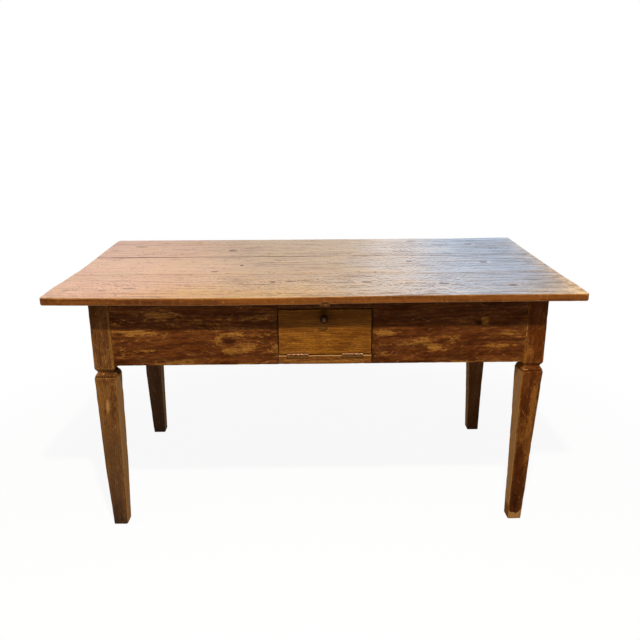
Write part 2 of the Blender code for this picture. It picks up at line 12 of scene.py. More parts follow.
import bpy
import numpy as np
from mathutils import Matrix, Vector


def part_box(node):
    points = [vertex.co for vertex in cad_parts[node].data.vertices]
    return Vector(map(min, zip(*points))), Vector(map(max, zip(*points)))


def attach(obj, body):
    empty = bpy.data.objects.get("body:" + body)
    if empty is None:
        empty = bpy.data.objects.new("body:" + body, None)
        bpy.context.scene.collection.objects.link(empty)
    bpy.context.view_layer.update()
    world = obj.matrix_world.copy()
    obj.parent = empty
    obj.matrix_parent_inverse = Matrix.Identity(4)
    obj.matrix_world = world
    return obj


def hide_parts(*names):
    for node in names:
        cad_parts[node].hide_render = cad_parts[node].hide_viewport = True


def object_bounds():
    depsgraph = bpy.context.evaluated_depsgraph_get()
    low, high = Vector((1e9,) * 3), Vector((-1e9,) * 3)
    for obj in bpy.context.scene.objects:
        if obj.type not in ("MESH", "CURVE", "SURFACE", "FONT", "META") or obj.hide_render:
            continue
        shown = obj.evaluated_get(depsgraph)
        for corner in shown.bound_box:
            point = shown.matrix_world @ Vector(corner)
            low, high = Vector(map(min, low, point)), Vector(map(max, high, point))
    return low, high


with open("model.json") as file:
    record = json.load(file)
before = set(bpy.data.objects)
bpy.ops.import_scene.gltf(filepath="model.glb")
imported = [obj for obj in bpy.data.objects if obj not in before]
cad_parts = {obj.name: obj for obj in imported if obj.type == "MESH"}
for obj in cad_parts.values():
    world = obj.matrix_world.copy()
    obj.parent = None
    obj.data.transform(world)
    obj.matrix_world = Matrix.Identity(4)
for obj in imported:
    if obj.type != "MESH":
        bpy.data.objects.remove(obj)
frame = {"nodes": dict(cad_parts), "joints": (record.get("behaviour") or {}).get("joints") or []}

CAD_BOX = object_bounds()
HALF_LENGTH, HALF_WIDTH = CAD_BOX[1][0], CAD_BOX[1][1]
JOINTS = {joint["name"]: joint for joint in frame["joints"]}

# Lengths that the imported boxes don't give: joint parts hidden in the wood, and the hinges' sections
TENON_LENGTH = 0.036
STUB_LENGTH = 0.0123
HINGE_AXIS = np.array(JOINTS["flap_hinge"]["pos_m"])
LATCH_AXIS = np.array(JOINTS["latch_turn"]["pos_m"])
BARREL_RADIUS = 0.0033
LEAF_THICKNESS = 0.0016
KNUCKLE_COUNT = 5
KNUCKLE_PLAY = 0.0004
LEAF_GAP = 0.0008
RECESS_PLAY = 0.0003
WALL_STEP = 0.00006

# How far the look of an arris and of end grain reaches, and what a bump's height counts in
ARRIS_REACH = 0.004
END_REACH = 0.0008
BUMP_UNIT = 0.001

# Seeds of the pieces that aren't in a table with a seed of their own
FIRST_LEG_SEED, FIRST_PEG_SEED = 41, 60
PLATE_SEED, KNUCKLE_TAB_SEED = 70, 71
SCREW_SEED, NAIL_SEED = 90, 95

# Board axes: along the grain, across the wide face, through the thickness
LYING = (0, 1, 2)
FRONT_FACING = (0, 2, 1)
END_FACING = (1, 2, 0)
STANDING = (2, 0, 1)

# Sides of a board's profile, in the order that the walk round it meets them
OVER, NEAR, UNDER, FAR = range(4)
CORNER_SIGNS = np.array([[1, 1], [-1, 1], [-1, -1], [1, -1]])

Walk = namedtuple("Walk", "first second angle share side gap")


def ramp(values, start, reach):
    """0 before start, 1 past start plus reach, a straight line between; a negative reach runs downwards."""
    return np.clip((values - start) / reach, 0, 1)


def bell(values, middle, reach):
    """Bell curve: e to the power of minus the squared distance from the middle, counted in reaches."""
    return np.exp(-(((values - middle) / reach) ** 2))


def waves(rng, places, lengths):
    """Sum of sine waves of the given lengths with seeded phases, between -1 and 1."""
    phases = rng.uniform(0, 2 * np.pi, len(lengths))
    total = sum(np.sin(2 * np.pi * places / length + phase) for length, phase in zip(lengths, phases))
    return total / len(lengths)


def ripples(rng, along, across, lengths):
    """Sum of sine waves that cross a face at seeded slants, between -1 and 1."""
    phases = rng.uniform(0, 2 * np.pi, len(lengths))
    slants = rng.uniform(-1.2, 1.2, len(lengths))
    total = sum(
        np.sin(2 * np.pi * (along / (3.5 * length) + slant * across / length) + phase)
        for length, phase, slant in zip(lengths, phases, slants)
    )
    return total / len(lengths)


def chips(rng, places, count, depth, reach):
    """Sum of seeded bell curves along an arris, each a chip of its own depth and reach."""
    low, high = places.min(), places.max()
    middles = rng.uniform(low, high, count)
    depths = depth * rng.uniform(0.3, 1.0, count)
    reaches = reach * rng.uniform(0.5, 1.5, count)
    return (depths * bell(places, middles, reaches)).sum(axis=-1, keepdims=True)


def spots(across, up, patches):
    """Sum of bell-shaped patches, each given as its middle, its half sizes and its strength."""
    total = np.zeros_like(across)
    for middle_a, middle_u, half_a, half_u, strength in patches:
        total += strength * np.exp(-(((across - middle_a) / half_a) ** 2) - ((up - middle_u) / half_u) ** 2)
    return total


def side_shares(length, spacing, hold):
    """Even shares of a side, with one more place held close to each arris."""
    even = np.linspace(0, 1, max(2, round(length / spacing)) + 1)[1:-1]
    close = hold / length
    return np.unique(np.concatenate([[close], even[(even > close) & (even < 1 - close)], [1 - close]]))


def walk_profile(width, depth, spacing, arc_steps=4, hold=0.0025, extra=None):
    """Once round a four cornered profile.

    Each place lies a share of the way between two corner arcs, at one angle of both; on an arc the share
    is 0. The gap is the distance to the nearest arris along the side.
    """
    parts = {name: [] for name in Walk._fields}
    quarter = np.pi / 2
    for corner in range(4):
        length = (width, depth)[corner % 2]
        turn = np.linspace(0, quarter, arc_steps + 1)
        shares = side_shares(length, spacing, min(hold, length / 5))
        shares = np.unique(np.concatenate([shares, (extra or {}).get(corner, [])]))
        arc, run = np.ones_like(turn), np.ones_like(shares)
        parts["first"] += [arc * corner, run * corner]
        parts["second"] += [arc * corner, run * ((corner + 1) % 4)]
        parts["angle"] += [corner * quarter + turn, run * (corner + 1) * quarter]
        parts["share"] += [arc * 0, shares]
        parts["side"] += [np.where(turn < quarter / 2, (corner - 1) % 4, corner), run * corner]
        parts["gap"] += [arc * 0, np.minimum(shares, 1 - shares) * length]
    joined = {name: np.concatenate(values) for name, values in parts.items()}
    for name in ("first", "second", "side"):
        joined[name] = joined[name].astype(int)
    return Walk(**joined)


def profile_rings(walk, half_width, half_depth, radius):
    """Places across and through for every station: the mix of two corner arcs.

    An arc is its corner moved in by the arc's radius, plus the radius turned to the place's angle. Half sizes
    are (stations, 1), the radius is (stations, 4).
    """

    def arc(corner):
        """The corner's arc at every place, across and through."""
        bend = radius[:, corner]
        sign = CORNER_SIGNS[corner]
        across = sign[:, 0] * (half_width - bend) + bend * np.cos(walk.angle)
        through = sign[:, 1] * (half_depth - bend) + bend * np.sin(walk.angle)
        return across, through

    (first_a, first_t), (second_a, second_t) = arc(walk.first), arc(walk.second)
    return first_a + walk.share * (second_a - first_a), first_t + walk.share * (second_t - first_t)


END_SHARES = np.array([0.97, 0.88, 0.7, 0.45, 0.2])


def with_ends(body):
    """Adds rings that shrink from each end ring towards its middle, so that a flat face closes the end."""
    middle = body.mean(axis=1, keepdims=True)
    first = middle[0] + END_SHARES[::-1, None, None] * (body[0] - middle[0])
    last = middle[-1] + END_SHARES[:, None, None] * (body[-1] - middle[-1])
    return np.concatenate([first, body, last])


def end_values(body, first, last):
    """Repeats end values of a trait over the rings that close the ends."""
    shape = len(END_SHARES), body.shape[1]
    return np.concatenate([np.full(shape, first), body, np.full(shape, last)])


def round_over(past, radius):
    """How far a quarter circle has moved in: the radius less the root of radius squared less past squared."""
    past = np.clip(past, 0, radius)
    return radius - np.sqrt(np.maximum(radius**2 - past**2, 0))


def worn_board(low, high, axes, arrises, seed, spacing=(0.006, 0.012), rounding=0.002, hollow=0.0004,
               chip_count=10, extra_stations=(), extra_shares=None):
    """Rounded rectangle carried along the grain.

    Each arris has its own radius, which swells along the board in seeded waves and chips. The ends round over
    on a quarter circle, and both faces are hollowed a little by slanting ripples, always inwards.
    Returns the rings and the traits: arris (1 on an edge), side of the profile, end (1 on the end grain).
    """
    low, high = np.array(low, float), np.array(high, float)
    length, width, depth = ((high - low)[axis] for axis in axes)
    rng = np.random.default_rng(seed)
    walk = walk_profile(width, depth, spacing[1], extra=extra_shares)
    bend = rounding * (1 - np.cos(np.linspace(0, np.pi / 2, 4)))
    even = np.linspace(rounding, length - rounding, max(3, round(length / spacing[0])))
    u = np.unique(np.concatenate([bend, even, length - bend, np.array(extra_stations)]).round(6))[:, None]
    to_end = np.minimum(u, length - u)
    inset = round_over(rounding - to_end, rounding)

    radius = np.concatenate([
        base * (1 + 0.22 * waves(rng, u, (0.31, 0.17, 0.061))) + chips(rng, u, chip_count, 0.7 * base, 0.006)
        for base in arrises
    ], axis=1)
    radius = np.clip(radius, 1e-4, depth / 2 - inset - 1e-4)
    across, through = profile_rings(walk, width / 2 - inset, depth / 2 - inset, radius)
    dip = hollow * (1 + ripples(rng, u + 0 * across, across, (0.11, 0.19, 0.27))) / 2
    through = through - dip * np.clip(through / (depth / 2), -1, 1)
    wave = hollow * (1 + waves(rng, u, (0.43, 0.23))) / 2
    across = across - wave * np.clip(across / (width / 2), -1, 1)

    middle = (low + high) / 2
    body = np.empty((len(u), len(walk.share), 3))
    body[..., axes[0]] = low[axes[0]] + u
    body[..., axes[1]] = middle[axes[1]] + across
    body[..., axes[2]] = middle[axes[2]] + through
    edge = np.exp(-np.minimum(walk.gap, to_end) / ARRIS_REACH)
    traits = {
        "arris": end_values(edge, 0.3, 0.3),
        "side": end_values(np.broadcast_to(walk.side, edge.shape), -1, -1),
        "end": end_values(np.exp(-to_end / END_REACH) + 0 * edge, 1, 1),
    }
    return with_ends(body), traits


def build_mesh(name, shells):
    """Closed skin over the rings of each shell: quads between rings, a fan to a point in each end ring.

    A shell whose faces enclose a negative volume is turned inside out.
    """
    points, faces, traits = [], [], {}
    names = sorted({key for _, values in shells for key in values})
    start = 0
    for rings, values in shells:
        count, places, _ = rings.shape
        index = np.arange(count * places).reshape(count, places)
        beside = np.roll(index, -1, axis=1)
        quads = np.stack([index[:-1], beside[:-1], beside[1:], index[1:]], axis=-1).reshape(-1, 4)
        first_fan = np.stack([beside[0], index[0], np.full(places, count * places)], axis=-1)
        last_fan = np.stack([index[-1], beside[-1], np.full(places, count * places + 1)], axis=-1)
        flat = np.concatenate([rings.reshape(-1, 3), rings[[0, -1]].mean(axis=1)])
        triangles = np.concatenate([quads[:, :3], quads[:, [0, 2, 3]], first_fan, last_fan])
        a, b, c = (flat[triangles[:, i]] - flat.mean(axis=0) for i in range(3))
        volume = (a * np.cross(b, c)).sum()
        turn = 1 if volume > 0 else -1
        for group in (quads, first_fan, last_fan):
            faces += (group[:, ::turn] + start).tolist()
        points.append(flat)
        for key in names:
            value = np.broadcast_to(values.get(key, 0.0), (count, places)).astype(float)
            traits.setdefault(key, []).append(np.concatenate([value.ravel(), value[[0, -1]].mean(axis=1)]))
        start += len(flat)
    mesh = bpy.data.meshes.new(name)
    mesh.from_pydata(np.concatenate(points), [], faces)
    for key in names:
        layer = mesh.attributes.new(key, "FLOAT", "POINT")
        layer.data.foreach_set("value", np.concatenate(traits[key]).astype(np.float32))
    mesh.shade_smooth()
    mesh.update()
    return mesh


def add_piece(name, shells, finish, body, replaced=()):
    """Makes a piece from its shells and lets it ride on a body in place of the named nodes."""
    mesh = build_mesh(name, shells)
    mesh.materials.append(finish)
    piece = bpy.data.objects.new(name, mesh)
    bpy.context.scene.collection.objects.link(piece)
    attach(piece, body)
    if replaced:
        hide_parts(*replaced)


def arithmetic(operation, reflected=False):
    """Method that adds a Math node between a field and another field or a number, or the other way round."""

    def method(self, other):
        """The Math node of this operation, its two values in order."""
        return self.maths(operation, other, self) if reflected else self.maths(operation, self, other)

    return method


class Field:
    """One output of a finish's node tree. Arithmetic between fields and numbers adds Math nodes."""

    def __init__(self, tree, made=None, output=0):
        """Keeps the tree, the node and the node's output; a field without a node only starts a tree."""
        self.tree = tree
        self.made = made
        self.socket = made.outputs[output] if made else None

    def node(self, kind, settings=None, inputs=None, output=0):
        """Any node: its type, its settings, which are set first, and the values or links of its sockets."""
        made = self.tree.nodes.new(f"ShaderNode{kind}")
        for key, value in (settings or {}).items():
            setattr(made, key, value)
        for key, value in (inputs or {}).items():
            if isinstance(value, Field):
                self.tree.links.new(value.socket, made.inputs[key])
            else:
                made.inputs[key].default_value = value
        return Field(self.tree, made, output)

    def other(self, output):
        """Another output of the same node."""
        return Field(self.tree, self.made, output)

    def maths(self, operation, *values):
        """A Math node, its values in the order of its sockets."""
        return self.node("Math", {"operation": operation}, dict(enumerate(values)))

    __add__, __radd__ = arithmetic("ADD"), arithmetic("ADD", True)
    __sub__, __rsub__ = arithmetic("SUBTRACT"), arithmetic("SUBTRACT", True)
    __mul__, __rmul__ = arithmetic("MULTIPLY"), arithmetic("MULTIPLY", True)
    __truediv__, __rtruediv__ = arithmetic("DIVIDE"), arithmetic("DIVIDE", True)
    __pow__, __rpow__ = arithmetic("POWER"), arithmetic("POWER", True)


def rise(field, low, high):
    """0 below low, 1 above high, an S curve between."""
    return field.node("MapRange", {"interpolation_type": "SMOOTHSTEP"}, {0: field, 1: low, 2: high})


def limit(field):
    """The field held between 0 and 1."""
    return field.node("Clamp", None, {0: field})


def stretch(place, scale):
    """The place times a scale of its own for each axis."""
    return place.node("VectorMath", {"operation": "MULTIPLY"}, {0: place, 1: scale})


def noise(place, scale, detail, roughness=0.5):
    """Cloudy noise over a place, about 0.5 in the middle."""
    return place.node("TexNoise", None, {
        "Vector": place, "Scale": scale, "Detail": detail, "Roughness": roughness, "Distortion": 0.0,
    })


def drawn(place, along, across, detail, roughness=0.5, scale=1.0):
    """Noise drawn out along the grain, with so many clouds to the metre along it and across it."""
    return noise(stretch(place, (along, across, across)), scale, detail, roughness)


def tint(amount, base, cover):
    """Colour that goes from base to cover by amount."""
    colours = [(*colour, 1.0) if isinstance(colour, tuple) else colour for colour in (base, cover)]
    return amount.node("Mix", {"data_type": "RGBA"}, {0: amount, 6: colours[0], 7: colours[1]}, output=2)


def layered(colour, *layers):
    """Colour under layers laid on in turn, each given as its amount and its cover."""
    for amount, cover in layers:
        colour = tint(amount, colour, cover)
    return colour


def trait(start, name):
    """What the mesh says of itself under this name."""
    return start.node("Attribute", {"attribute_name": name}, output="Fac")


def traits_of(start, names):
    """Several traits, named in one line."""
    return [trait(start, name) for name in names.split()]


Wood = namedtuple("Wood", "start place along across late broad streak fibre pore knot halo speck")


def new_finish(name):
    """Empty material with its shader, and a field to start its node tree from."""
    material = bpy.data.materials.new(name)
    material.use_nodes = True
    shader = material.node_tree.nodes["Principled BSDF"]
    return material, shader, Field(material.node_tree)


def connect(shader, colour, roughness, height, specular, gloss=None, coat_roughness=0.03, metallic=None):
    """Joins the fields to the shader, the height through a bump that counts it in millimetres."""
    bump = colour.node("Bump", None, {"Strength": 1.0, "Distance": BUMP_UNIT, "Height": height})
    fields = {
        "Base Color": colour, "Roughness": roughness, "Normal": bump,
        "Coat Weight": gloss, "Metallic": metallic,
    }
    for socket, field in fields.items():
        if field is not None:
            colour.tree.links.new(field.socket, shader.inputs[socket])
    shader.inputs["Specular IOR Level"].default_value = specular
    shader.inputs["Coat Roughness"].default_value = coat_roughness


def timber(start, axes, pith, ring_width, shift, knots=()):
    """Marks of sawn wood in the board's own grain frame.

    A ring is a step of the distance from a pith line that wanders along the board; late wood is the dark end
    of each step. Near a knot the distance is pushed aside, so that the rings flow round it. Streaks, fibres
    and pores are noises drawn out along the grain.
    """
    parts = start.node("SeparateXYZ", None, {0: start.node("TexCoord", output="Object")}, output="X")
    axis_fields = [parts, parts.other("Y"), parts.other("Z")]
    along, across, through = (axis_fields[axis] for axis in axes)
    place = start.node("CombineXYZ", None, {0: along + shift, 1: across + 0.37 * shift, 2: through})
    drift = drawn(place, 1.4, 3.0, 2.0)
    sway = drawn(place, 1.1, 2.0, 1.0, scale=1.7)
    waver = drawn(place, 7.0, 26.0, 3.0, 0.6)
    pith_across = across - pith[0] + 0.09 * (drift - 0.5)
    pith_through = through - pith[1] + 0.05 * (sway - 0.5)
    ring = (pith_across ** 2.0 + pith_through ** 2.0) ** 0.5 / ring_width + 1.1 * (waver - 0.5)
    knot, halo = None, None
    for middle_along, middle_across, half_along, half_across, strength in knots:
        reach = ((along - middle_along) / half_along) ** 2.0 + ((across - middle_across) / half_across) ** 2.0
        reach = reach + 0.7 * (waver - 0.5)
        ring = ring + 2.6 / (1.0 + 0.45 * reach * reach)
        core = strength * (1.0 - rise(reach, 0.35, 1.5))
        glow = 1.0 - rise(reach, 1.5, 7.0)
        knot = core if knot is None else start.maths("MAXIMUM", knot, core)
        halo = glow if halo is None else start.maths("MAXIMUM", halo, glow)
    step = start.maths("FRACT", ring)
    late = rise(step, 0.30, 0.86) * (1.0 - rise(step, 0.90, 1.0))
    broad = drawn(place, 1.6, 22.0, 3.0, 0.55)
    streak = drawn(place, 5.0, 120.0, 4.0, 0.62)
    fibre = drawn(place, 16.0, 620.0, 3.0, 0.6)
    pore = rise(drawn(place, 46.0, 1100.0, 1.0), 0.62, 0.72)
    speck = drawn(place, 90.0, 90.0, 3.0, 0.65)
    if not knots:
        knot = halo = 0.0 * speck
    return Wood(start, place, along, across, late, broad, streak, fibre, pore, knot, halo, speck)


def scratches(wood, angle, scale, shift):
    """Thin marks: the places where a noise drawn out along a slanted line crosses its middle, kept here and
    there."""
    turned_place = wood.start.node("Mapping", None, {
        "Vector": wood.place, "Location": (shift, 0.3 * shift, 0.0), "Rotation": (0.0, 0.0, angle),
    })
    lines = noise(stretch(turned_place, (scale * 0.35, scale * 5.0, scale)), 1.0, 1.0)
    kept = noise(stretch(turned_place, (scale * 0.5, scale * 1.2, scale)), 1.7, 1.0)
    distance = wood.start.maths("ABSOLUTE", lines - 0.5)
    return (1.0 - rise(distance, 0.004, 0.016)) * rise(kept, 0.56, 0.64)


def score_line(wood, start, end):
    """One long pale scratch: the band beside the line from start to end, thinner and thicker in turn."""
    length = math.dist(start, end)
    step_x, step_y = (end[0] - start[0]) / length, (end[1] - start[1]) / length
    from_x, from_y = wood.along - start[0], wood.across - start[1]
    run = from_x * step_x + from_y * step_y
    beside = wood.start.maths("ABSOLUTE", from_y * step_x - from_x * step_y + 0.006 * (wood.speck - 0.5))
    within = rise(run, 0.0, 0.02) * (1.0 - rise(run, length - 0.02, length))
    return (1.0 - rise(beside, 0.0012, 0.0042)) * within


def top_finish(name, pith, shift, knots, lines=()):
    """Waxed honey boards: streaked grain, bleached and grubby blotches, golden arrises, darker edges and a
    raw underside.

    The colour goes salmon towards the left end and smoky grey towards the right one: partly the wax's own
    patina, partly painted reflections of pink and blue-grey light. Where the top was used most, flecks stand
    out of the wax, and each of the lines is a long scratch.
    """
    material, shader, start = new_finish(name)
    wood = timber(start, LYING, pith, 0.0105, shift, knots)
    arris, raw, edge, joint, seam, rubbed = traits_of(start, "arris raw edge joint seam rubbed")
    golden, use, dim, edge_tone = traits_of(start, "golden busy dim edge_tone")
    tone = limit(0.5 * wood.broad + 0.5 * wood.streak)
    drift = drawn(wood.place, 3.5, 6.0, 3.0, 0.6)
    blotch = drawn(wood.place, 26.0, 34.0, 4.0, 0.62)
    fleck = drawn(wood.place, 85.0, 62.0, 3.0, 0.65)
    dash = drawn(wood.place, 13.0, 54.0, 4.0, 0.62)
    line = drawn(wood.place, 6.0, 70.0, 3.0, 0.6)
    aside = start.node("VectorMath", {"operation": "ADD"}, {0: wood.place, 1: (0.001, 0.011, 0.0)})
    grooves = line - drawn(aside, 6.0, 70.0, 3.0, 0.6)
    dents = drawn(wood.place, 95.0, 55.0, 4.0, 0.68) - drawn(aside, 95.0, 55.0, 4.0, 0.68)
    stir = limit(1.0 + use)
    busy = start.maths("MAXIMUM", use, 0.0) * (0.3 + 1.1 * rise(blotch, 0.42, 0.58))
    lively = rise(wood.along + 0.3 * (drift - 0.5), -0.35, 0.25)
    far = rise(wood.across, 0.0, 0.38)
    spread = wood.along + 0.40 * (drift - 0.5) + 0.25 * (blotch - 0.5)
    corner = rise(0.8 * wood.along - wood.across, 0.76, 1.04)
    # Salmon and smoky grey: partly the wax's patina, partly painted reflections of pink and blue-grey light
    salmon_patina_and_sheen = 1.0 - rise(spread, -0.66, 0.06)
    smoky_patina_and_sheen = rise(spread, 0.24, 0.64) * (1.0 - 0.8 * corner)
    bleached = rise(spread, -0.05, 0.30)

    peach_patina_and_sheen = tint(far, (0.56, 0.270, 0.098), (0.46, 0.245, 0.115))
    grey_patina_and_sheen = tint(rise(drift, 0.44, 0.60), (0.180, 0.133, 0.108), (0.228, 0.152, 0.104))
    honey = tint(bleached, (0.47, 0.252, 0.075), (0.382, 0.286, 0.200))
    light = tint(smoky_patina_and_sheen, tint(salmon_patina_and_sheen, honey, peach_patina_and_sheen), grey_patina_and_sheen)
    dark = tint(smoky_patina_and_sheen, tint(salmon_patina_and_sheen, (0.170, 0.082, 0.020), (0.31, 0.130, 0.034)), (0.098, 0.064, 0.043))
    amount = 0.32 * tone + 0.14 * blotch + 0.20 * dash + 0.16 * line + 0.09 - 0.05 * wood.late
    amount = amount + ((0.13 + 0.32 * busy) * dents + 0.10 * grooves + 0.18 * (fleck - 0.5)) * stir
    tawny = rise(drawn(wood.place, 4.5, 9.0, 3.0, 0.6), 0.48, 0.62) * (1.0 - smoky_patina_and_sheen)
    grubby = rise(0.6 * fleck + 0.4 * drawn(wood.place, 9.0, 22.0, 4.0, 0.62, scale=1.3), 0.56, 0.63)
    scores = scratches(wood, 0.5, 22.0, 3.1)
    for first, last in lines:
        scores = start.maths("MAXIMUM", scores, 1.4 * score_line(wood, first, last))
    side_tone = 0.5 * tone + 0.5 * wood.broad + 0.22 * (fleck - 0.5) + edge_tone
    side_tone = tint(rise(side_tone, 0.38, 0.62), (0.068, 0.0165, 0.0016), (0.215, 0.066, 0.0080))
    side_specks = rise(0.6 * wood.speck + 0.4 * fleck, 0.57, 0.66)
    worn = rise(arris + 0.6 * wood.broad + 0.5 * blotch, 1.38, 1.74) * (1.0 - raw) * (1.0 - seam)
    rubbed = limit(rubbed * rise(fleck + 0.5 * dash, 0.50, 0.86))
    gap = rise(joint * arris + 0.5 * (drift - 0.5), 0.30, 0.75)
    # Painted glints: paler flecks in the rings round each knot
    halo = wood.halo * (1.0 - wood.knot) * rise(fleck, 0.44, 0.58)
    bare = tint(wood.streak, (0.17, 0.095, 0.048), (0.33, 0.205, 0.11))
    colour = layered(
        tint(rise(amount, 0.37, 0.55), dark, light),
        (0.5 * tawny, (0.47, 0.270, 0.070)),
        (0.7 * golden * rise(blotch, 0.34, 0.60), (0.52, 0.29, 0.050)),
        ((0.60 - 0.30 * smoky_patina_and_sheen) * grubby * stir, (0.095, 0.038, 0.012)),
        (0.30 * rise(wood.fibre, 0.48, 0.72), (0.07, 0.026, 0.008)),
        (0.55 * wood.pore, (0.04, 0.014, 0.005)),
        (0.35 * scores, (0.56, 0.36, 0.19)),
        (edge, tint(0.5 * side_specks, side_tone, (0.34, 0.150, 0.045))),
        (0.7 * worn, (0.46, 0.205, 0.045)),
        # rubbed ends, their cream blotches partly a painted highlight
        (rubbed * (1.0 - edge), tint(rise(blotch, 0.40, 0.56), (0.42, 0.205, 0.055), (0.74, 0.50, 0.25))),
        (gap, (0.020, 0.008, 0.003)),
        # painted glints round the knots
        (0.25 * halo, (0.62, 0.40, 0.20)),
        (wood.knot, tint(fleck, (0.016, 0.006, 0.003), (0.13, 0.048, 0.016))),
        (raw, tint(0.5 * wood.late, bare, (0.13, 0.07, 0.035))),
    )

    roughness = 0.30 + 0.14 * wood.streak + 0.20 * grubby + 0.10 * fleck + 0.30 * raw + 0.25 * edge
    height = 0.14 * wood.late - 0.16 * wood.fibre - 0.25 * wood.pore + 0.7 * wood.broad - 0.6 * wood.knot
    height = height - 0.12 * scores + 0.30 * wood.streak + 0.50 * fleck + 0.70 * dash
    height = height + 0.5 * blotch - 0.2 * grubby
    marks = 0.30 * (dash - 0.5) + 0.45 * (line - 0.5) + 0.30 * (wood.broad - 0.5) + 0.25 * (blotch - 0.5)
    flecks = (dents * (0.45 + 3.4 * busy) + 1.3 * grooves) * (0.55 + 0.75 * lively) * stir
    dull = salmon_patina_and_sheen * (0.08 + 0.24 * rise(wood.across, -0.10, 0.35)) + 0.25 * corner + 0.16 * smoky_patina_and_sheen
    worked = (1.0 - lively) * rise(wood.along, -0.62, -0.42) * rise(0.0 - wood.across, 0.10, 0.34)
    dull = dull + 0.20 * worked + 0.12 * rise(wood.along, 0.50, 0.72) + dim
    gloss = 0.86 - dull + (0.6 + 1.7 * lively) * marks + flecks
    gloss = limit(gloss - 0.16 * grubby + 0.06 * halo + 0.2 * scores) * (1.0 - 0.85 * wood.knot)
    gloss = gloss * (1.0 - raw) * (1.0 - edge) * (1.0 - gap) * (1.0 - 0.5 * worn) * (1.0 - 0.5 * rubbed)
    connect(shader, colour, roughness, height, 0.12, gloss, 0.32)
    return material


Stain = namedtuple("Stain", "gold_dark gold_light stain_dark stain_light worn")


def stained_finish(name, axes, pith, shift, stain, knots=(), patch=8.0, flake=24.0):
    """Old dark stain over golden wood, rubbed through in streaky patches, on the arrises and along scratches.

    Patch and flake say how many patches and flakes there are to the metre along the grain.
    """
    material, shader, start = new_finish(name)
    wood = timber(start, axes, pith, 0.0062, shift, knots)
    arris, raw, rubbed, grime, pale = traits_of(start, "arris raw rubbed grime pale")
    tone = limit(0.45 * wood.broad + 0.55 * wood.streak)
    patchy = drawn(wood.place, patch, 30.0, 5.0, 0.62)
    flaky = drawn(wood.place, flake, 135.0, 4.0, 0.66)
    crumb = drawn(wood.place, 120.0, 230.0, 3.0, 0.65)
    gold = tint(rise(0.6 * tone + 0.4 * crumb, 0.36, 0.64), stain.gold_dark, stain.gold_light)
    gold = tint(0.45 * wood.late, gold, tuple(0.5 * value for value in stain.gold_dark))
    cover = 0.40 * patchy + 0.35 * flaky + 0.25 * wood.streak
    cover = tint(rise(cover, 0.38, 0.62), stain.stain_dark, stain.stain_light)
    cover = tint(0.40 * wood.late, cover, tuple(0.5 * value for value in stain.stain_dark))
    cuts = start.maths("MAXIMUM", scratches(wood, 0.35, 26.0, 1.7), scratches(wood, -0.6, 34.0, 5.3))
    # Rubbed wear, and on some pieces painted light that fills a cast shadow or lightens a face
    wear_and_light = 0.38 * patchy + 0.38 * flaky + 0.24 * crumb + 0.24 * rubbed + 0.11 * arris + 0.10 * cuts
    wear_and_light = rise(wear_and_light + stain.worn + 0.10 * (wood.streak - 0.5), 0.55, 0.67)
    # Dirt, and painted shade where the pieces lay it: under the top, beside gaps, round the knob
    dirt_and_shade = limit(grime * rise(0.5 * flaky + 0.5 * patchy, 0.36, 0.56))
    pale_tone = tint(wood.streak, (0.26, 0.115, 0.030), (0.46, 0.23, 0.075))
    bare = tint(wood.streak, (0.13, 0.075, 0.04), (0.27, 0.17, 0.095))
    aged = limit(0.20 * wood.late + 0.45 * rise(patchy, 0.46, 0.66) + 0.25 * wood.pore)
    colour = layered(
        tint(limit(0.9 * wear_and_light + 0.3 * cuts), cover, gold),
        (0.30 * rise(wood.fibre, 0.5, 0.72), (0.025, 0.008, 0.002)),
        (0.5 * wood.pore, (0.014, 0.005, 0.0015)),
        (0.85 * dirt_and_shade, (0.014, 0.004, 0.0015)),
        # Pale wood: wear on some pieces, painted light on others, on lit edges, lit faces and filled shadows
        (rise(pale + 0.6 * (crumb - 0.5) + 0.5 * (flaky - 0.5), 0.40, 0.60), pale_tone),
        (rise(pale + 0.3 * (crumb - 0.5), 0.80, 1.15), (0.60, 0.33, 0.14)),
        (0.5 * cuts * rise(crumb, 0.45, 0.6), (0.42, 0.22, 0.085)),
        (wood.knot, tint(wood.speck, (0.012, 0.003, 0.001), (0.055, 0.015, 0.004))),
        (0.9 * raw, tint(aged, bare, (0.095, 0.050, 0.026))),
    )
    roughness = 0.50 + 0.14 * wear_and_light + 0.12 * wood.streak + 0.15 * dirt_and_shade + 0.15 * raw
    height = 0.10 * wood.late - 0.14 * wood.fibre - 0.2 * wood.pore + 0.4 * wood.broad - 0.15 * wear_and_light
    height = height - 0.12 * cuts - 0.4 * wood.knot + 0.2 * wood.streak + 0.12 * crumb
    gloss = limit(0.10 + 0.35 * (patchy - 0.5) - 0.06 * wear_and_light + 0.05 * pale)
    connect(shader, colour, roughness, height, 0.0, gloss * (1.0 - raw) * (1.0 - 0.7 * dirt_and_shade), 0.38)
    return material


def bare_finish(name, axes, shift):
    """Unfinished inner boards: dry, grey-brown, saw marks across the grain."""
    material, shader, start = new_finish(name)
    wood = timber(start, axes, (0.03, -0.09), 0.0045, shift)
    tone = limit(0.5 * wood.broad + 0.5 * wood.streak)
    stains = drawn(wood.place, 5.0, 9.0, 4.0, 0.6)
    colour = layered(
        tint(rise(tone, 0.34, 0.66), (0.19, 0.105, 0.05), (0.36, 0.22, 0.115)),
        (0.45 * wood.late, (0.14, 0.07, 0.03)),
        (0.4 * wood.pore, (0.07, 0.035, 0.016)),
        (0.5 * rise(stains, 0.54, 0.70), (0.10, 0.055, 0.028)),
    )
    saw = drawn(wood.place, 420.0, 9.0, 2.0)
    height = 0.25 * saw - 0.2 * wood.fibre + 0.12 * wood.late
    connect(shader, colour, 0.68 + 0.2 * wood.streak, height, 0.25)
    return material


